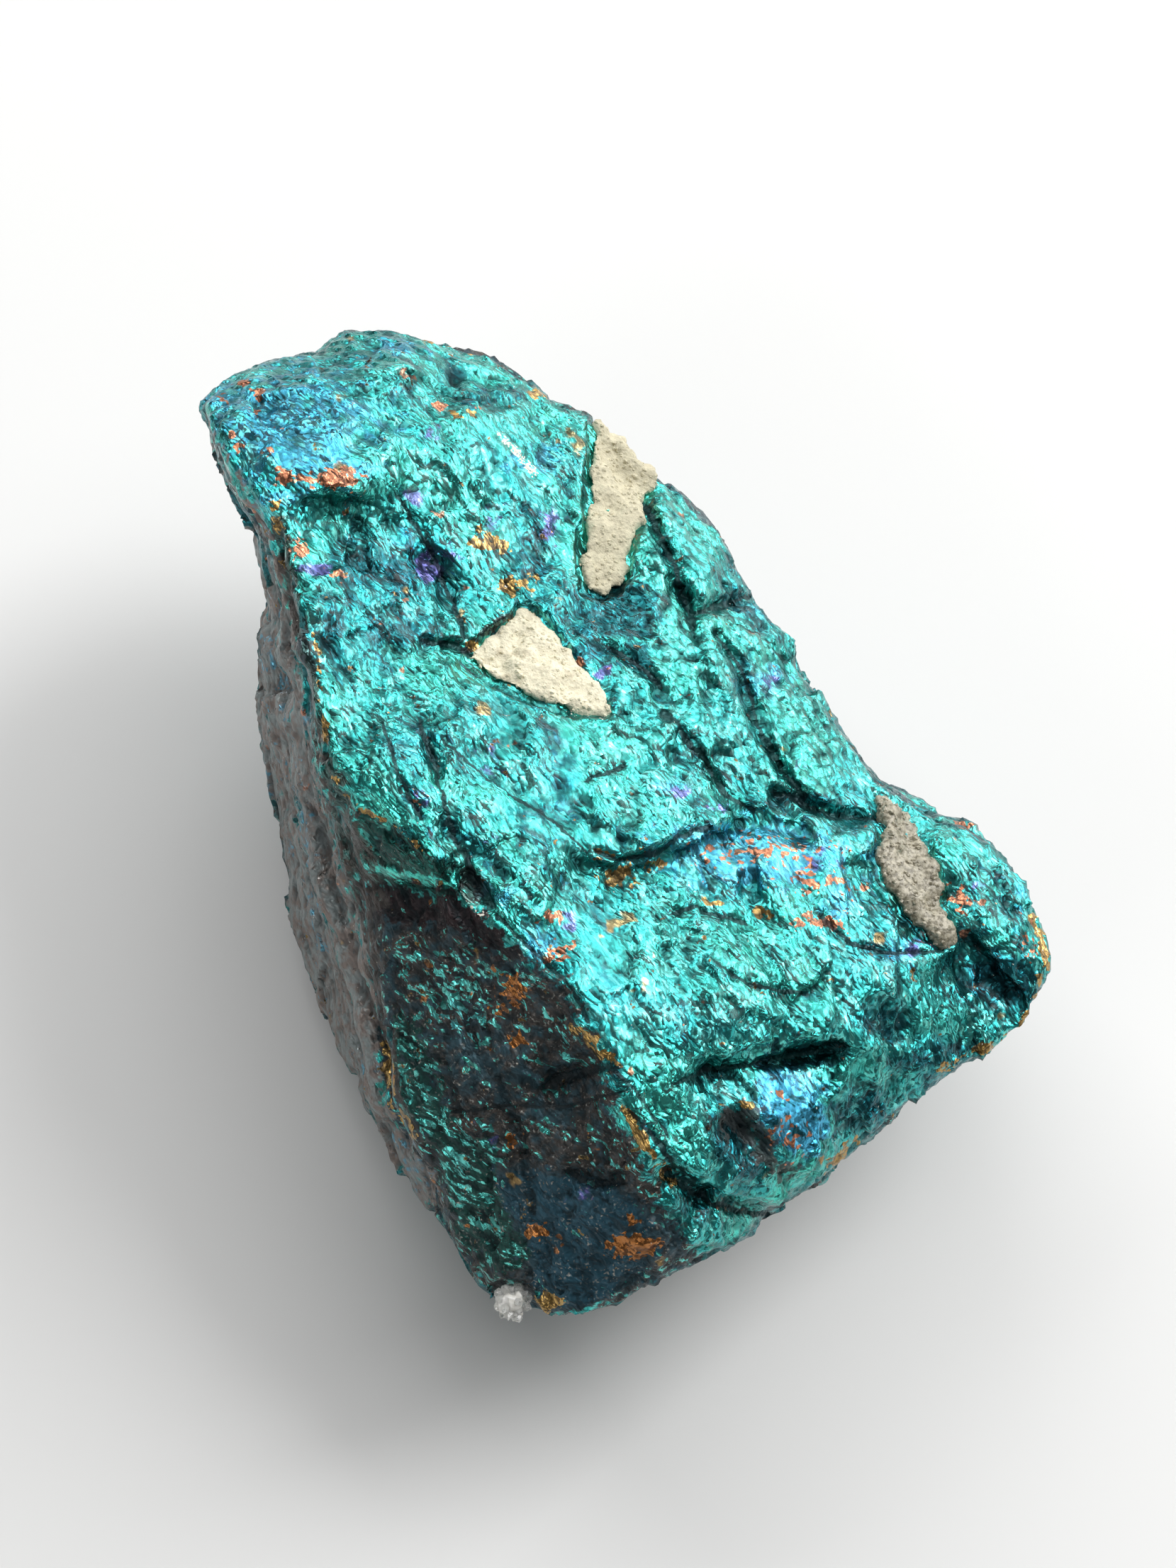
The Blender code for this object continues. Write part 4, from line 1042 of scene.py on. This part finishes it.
def weathered_rock(name, color):
    """Chalky grains a little darker and lighter than a colour, shaded between clumps and stained."""
    darker, lighter = (tuple(share * part for part in color) for share in (0.88, 1.05))
    recipe = Recipe(name)
    place = recipe.millimetres()
    grain = recipe.noise(place, 0.20, 3.0)
    clump = recipe.noise(place, 0.8, 4.0)
    stain = recipe.noise(place, 1.8, 4.0)
    tone = recipe.blend(grain.step(0.32, 0.62), darker, lighter)
    tone = recipe.blend(clump.step(0.48, 0.34) * 0.25, tone, OLIVE_SHADE)
    tone = recipe.blend(stain.step(0.56, 0.70) * 0.5, tone, BROWN_STAIN)
    height = (grain - 0.5) * 0.045 + (clump - 0.5) * 0.18
    return recipe.finish({"Base Color": tone, "Roughness": 0.85, "Specular IOR Level": 0.35}, height)


# Each patch: its piece's name, its slot, how far it swells past its solid, its colour and its seed.
GANGUE_PATCHES = {
    "gangue_upper": ("upper_host_rock", "upper_gangue", 0.08 * MM, OLIVE_CREAM, 11),
    "gangue_middle": ("middle_host_rock", "middle_gangue", 0.24 * MM, CREAM, 12),
}
for node, (piece_name, slot, swell, color, seed) in GANGUE_PATCHES.items():
    patch = swollen_patch(node, piece_name, swell)
    strew(patch, weathered_rock(piece_name, color), HOST_GRAINS, seed)
    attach(patch, "root")
    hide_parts(node)

# The quartz seam: greyer, sugary quartz that healed a crack beside the low right-hand lobe.
# It is a mass of grains that grew against each other and against the ore on both sides.
SEAM_SWELL = 0.08 * MM
SEAM_GRAINS = (0.09 * MM, 0.19 * MM)
SEAM_SEED = 13
SUGAR_DARK = (0.17, 0.15, 0.10)
SUGAR_LIGHT = (0.47, 0.43, 0.33)
SMOKE = (0.26, 0.24, 0.18)


def sugary_quartz():
    """Glassy grains, greyer where the quartz is smoky, that let a little light through."""
    recipe = Recipe("sugary_quartz")
    place = recipe.millimetres()
    grain = recipe.noise(place, 0.22, 3.0)
    smoke = recipe.noise(place, 1.4, 3.0)
    tone = recipe.blend(grain.step(0.35, 0.62), SUGAR_DARK, SUGAR_LIGHT)
    tone = recipe.blend(smoke.step(0.48, 0.66) * 0.5, tone, SMOKE)
    rough = 0.22 + grain * 0.3
    sockets = {"Base Color": tone, "Roughness": rough, "IOR": 1.54, "Subsurface Weight": 0.2,
               "Subsurface Radius": (0.6, 0.6, 0.5), "Subsurface Scale": 0.4 * MM}
    return recipe.finish(sockets, (grain - 0.5) * 0.06)


seam = swollen_patch("quartz_seam", "sugary_quartz_seam", SEAM_SWELL)
strew(seam, sugary_quartz(), SEAM_GRAINS, SEAM_SEED)
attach(seam, "root")
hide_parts("quartz_seam")

# The quartz tip: a knot of small clear points on the lowest tip, grown together from one milky root
# in the ore. Each is a six-sided prism with a six-sided end, clear enough to see through.
TIP_POINTS = 15
TIP_SEED = 21
TIP_SPREAD = 0.62 * MM
TURN_BETWEEN_POINTS = 0.618 * math.tau
ROOT_RADIUS = 0.72 * MM
ROOT_DEPTH = 0.25 * MM
ROOT_LUMP = 0.4 * MM
TIP_LENGTH = (0.7 * MM, 1.35 * MM)
TIP_WIDTH = (0.34 * MM, 0.62 * MM)
CLEAR = (0.97, 0.98, 0.97)
MILKY = (0.86, 0.84, 0.77)
WHITE = (0.99, 0.98, 0.94)

# A point's outline: how high each of its rings lies, and how wide it is, as shares of the whole.
POINT_RINGS = ((-0.25, 0.92), (0.52, 1.0), (0.78, 0.48), (1.0, 0.05))
POINT_SHOULDER = 0.52
POINT_LEAN = 0.12


def quartz_point(bm, foot, axis, length, width, turn):
    """A six-sided prism with a six-sided end, whose faces meet in an off-centre tip."""
    turned = axis.to_track_quat("Z", "Y").to_matrix()
    rings = []
    for height, share in POINT_RINGS:
        radius = width / 2 * share
        lean = POINT_LEAN * max(0, height - POINT_SHOULDER) * length
        ring = []
        for side in range(6):
            angle = turn + math.tau * side / 6
            flat = Vector((radius * math.cos(angle) + lean, radius * math.sin(angle), height * length))
            ring.append(bm.verts.new(foot + turned @ flat))
        rings.append(ring)
    for low, high in zip(rings, rings[1:]):
        for side in range(6):
            after = (side + 1) % 6
            bm.faces.new((low[side], low[after], high[after], high[side]))
    bm.faces.new(reversed(rings[0]))
    bm.faces.new(rings[-1])


def quartz_root(bm, middle, radius):
    """The knot of milky quartz that the points grow from."""
    knot = bmesh.ops.create_icosphere(bm, subdivisions=3, radius=radius)["verts"]
    for vertex in knot:
        swell = 1 + 0.35 * noise.noise(vertex.co / ROOT_LUMP)
        vertex.co = middle + vertex.co * swell


def quartz_cluster():
    """Points that fan out from the middle of the tip's root, each turned and sized by chance."""
    low, high = (Vector(corner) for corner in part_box("quartz_tip"))
    root = (low + high) / 2 - TOWARD_EYE * ROOT_DEPTH
    chance = np.random.default_rng(TIP_SEED)
    bm = bmesh.new()
    for number in range(TIP_POINTS):
        angle = number * TURN_BETWEEN_POINTS
        spread = math.sqrt((number + 0.5) / TIP_POINTS)
        aside = RIGHT * math.cos(angle) + UP * math.sin(angle)
        axis = (TOWARD_EYE + aside * (0.9 * spread + 0.1 * chance.random())).normalized()
        length = np.interp(chance.random(), (0, 1), TIP_LENGTH) * (1.1 - 0.4 * spread)
        width = np.interp(chance.random(), (0, 1), TIP_WIDTH)
        turn = math.tau * chance.random()
        quartz_point(bm, root + aside * spread * TIP_SPREAD, axis, length, width, turn)
    points = len(bm.faces)
    quartz_root(bm, root, ROOT_RADIUS)
    bm.faces.ensure_lookup_table()
    for face in bm.faces[points:]:
        face.material_index = 1
    mesh = bpy.data.meshes.new("clear_quartz_points")
    bm.to_mesh(mesh)
    bm.free()
    return linked("clear_quartz_points", mesh)


def clear_quartz():
    """See-through quartz, with a little frost on its faces."""
    recipe = Recipe("clear_quartz")
    frost = recipe.noise(recipe.millimetres(), 0.3, 3.0)
    sockets = {"Base Color": CLEAR, "Roughness": 0.05 + frost.step(0.55, 0.75) * 0.25,
               "IOR": 1.54, "Transmission Weight": 0.8}
    return recipe.finish(sockets, (frost - 0.5) * 0.04)


def milky_quartz():
    """Dull white quartz that doesn't let light through."""
    recipe = Recipe("milky_quartz")
    cloud = recipe.noise(recipe.millimetres(), 0.25, 3.0)
    tone = recipe.blend(cloud.step(0.35, 0.65), MILKY, WHITE)
    return recipe.finish({"Base Color": tone, "Roughness": 0.45, "IOR": 1.54}, (cloud - 0.5) * 0.06)


tip = quartz_cluster()
tip.data.materials.append(clear_quartz())
tip.data.materials.append(milky_quartz())
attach(tip, "root")
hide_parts("quartz_tip")

# The floor: a plain pale table top that the stone lies on. It isn't part of the object, and lies a
# hair lower than the stone's foot so that the two faces never touch.
FLOOR_SIZE = 3.0
FLOOR_DROP = 0.02 * MM
PALE_GREY = (0.86, 0.86, 0.85)


half = FLOOR_SIZE / 2
sides = ((-half, -half), (half, -half), (half, half), (-half, half))
corners = [(*side, -FLOOR_DROP) for side in sides]
table_mesh = bpy.data.meshes.new("table_top")
table_mesh.from_pydata(corners, [], [(0, 1, 2, 3)])
table_mesh.materials.append(Recipe("pale_table").finish({"Base Color": PALE_GREY, "Roughness": 0.6}))
linked("table_top", table_mesh)

# The light: one window-sized softbox from the right that the whole face mirrors, large weak panels
# round it for the planes that look elsewhere, a fill from the left, and a faint white room.
STONE_MIDDLE = Vector((0, 0, 12 * MM))
ROOM_LIGHT = 0.13


def softbox(name, azimuth, elevation, distance, size, power):
    """A soft light that faces the stone, placed by the way it is seen from the stone."""
    turn, rise = math.radians(azimuth), math.radians(elevation)
    away = Vector((math.cos(turn) * math.cos(rise), math.sin(turn) * math.cos(rise), math.sin(rise)))
    light = bpy.data.lights.new(name, "AREA")
    light.shape = "RECTANGLE"
    light.size, light.size_y = size
    light.energy = power
    obj = linked(name, light)
    obj.location = away * distance + STONE_MIDDLE
    obj.rotation_euler = (-away).to_track_quat("-Z", "Y").to_euler()
    obj.visible_camera = False


softbox("window", azimuth=28, elevation=42, distance=0.60, size=(0.26, 0.34), power=2.0)
softbox("bounce wall", azimuth=40, elevation=50, distance=0.75, size=(1.0, 1.0), power=3.4)
softbox("low panel", azimuth=50, elevation=9, distance=0.60, size=(0.50, 0.16), power=1.1)
softbox("back panel", azimuth=112, elevation=38, distance=0.70, size=(0.60, 0.40), power=2.2)
softbox("fill", azimuth=222, elevation=28, distance=0.80, size=(0.40, 0.40), power=0.9)

world = bpy.data.worlds.new("studio")
world.use_nodes = True
background = world.node_tree.nodes["Background"].inputs
background["Color"].default_value = (1, 1, 1, 1)
background["Strength"].default_value = ROOM_LIGHT
bpy.context.scene.world = world
bpy.context.scene.view_settings.view_transform = "Standard"

# The camera: at the photograph's eye, looking along its line of sight, with the lens that shows the
# stone at the size in pixels that it has in the photograph.
camera_data = bpy.data.cameras.new("photograph")
camera_data.sensor_width = 36
camera_data.lens = PIXELS_PER_RADIAN / PHOTO_SIZE[1] * camera_data.sensor_width
camera_data.clip_start = 0.01
camera = linked("photograph", camera_data)
camera.location = EYE
camera.rotation_euler = (-TOWARD_EYE).to_track_quat("-Z", "Y").to_euler()
bpy.context.scene.camera = camera
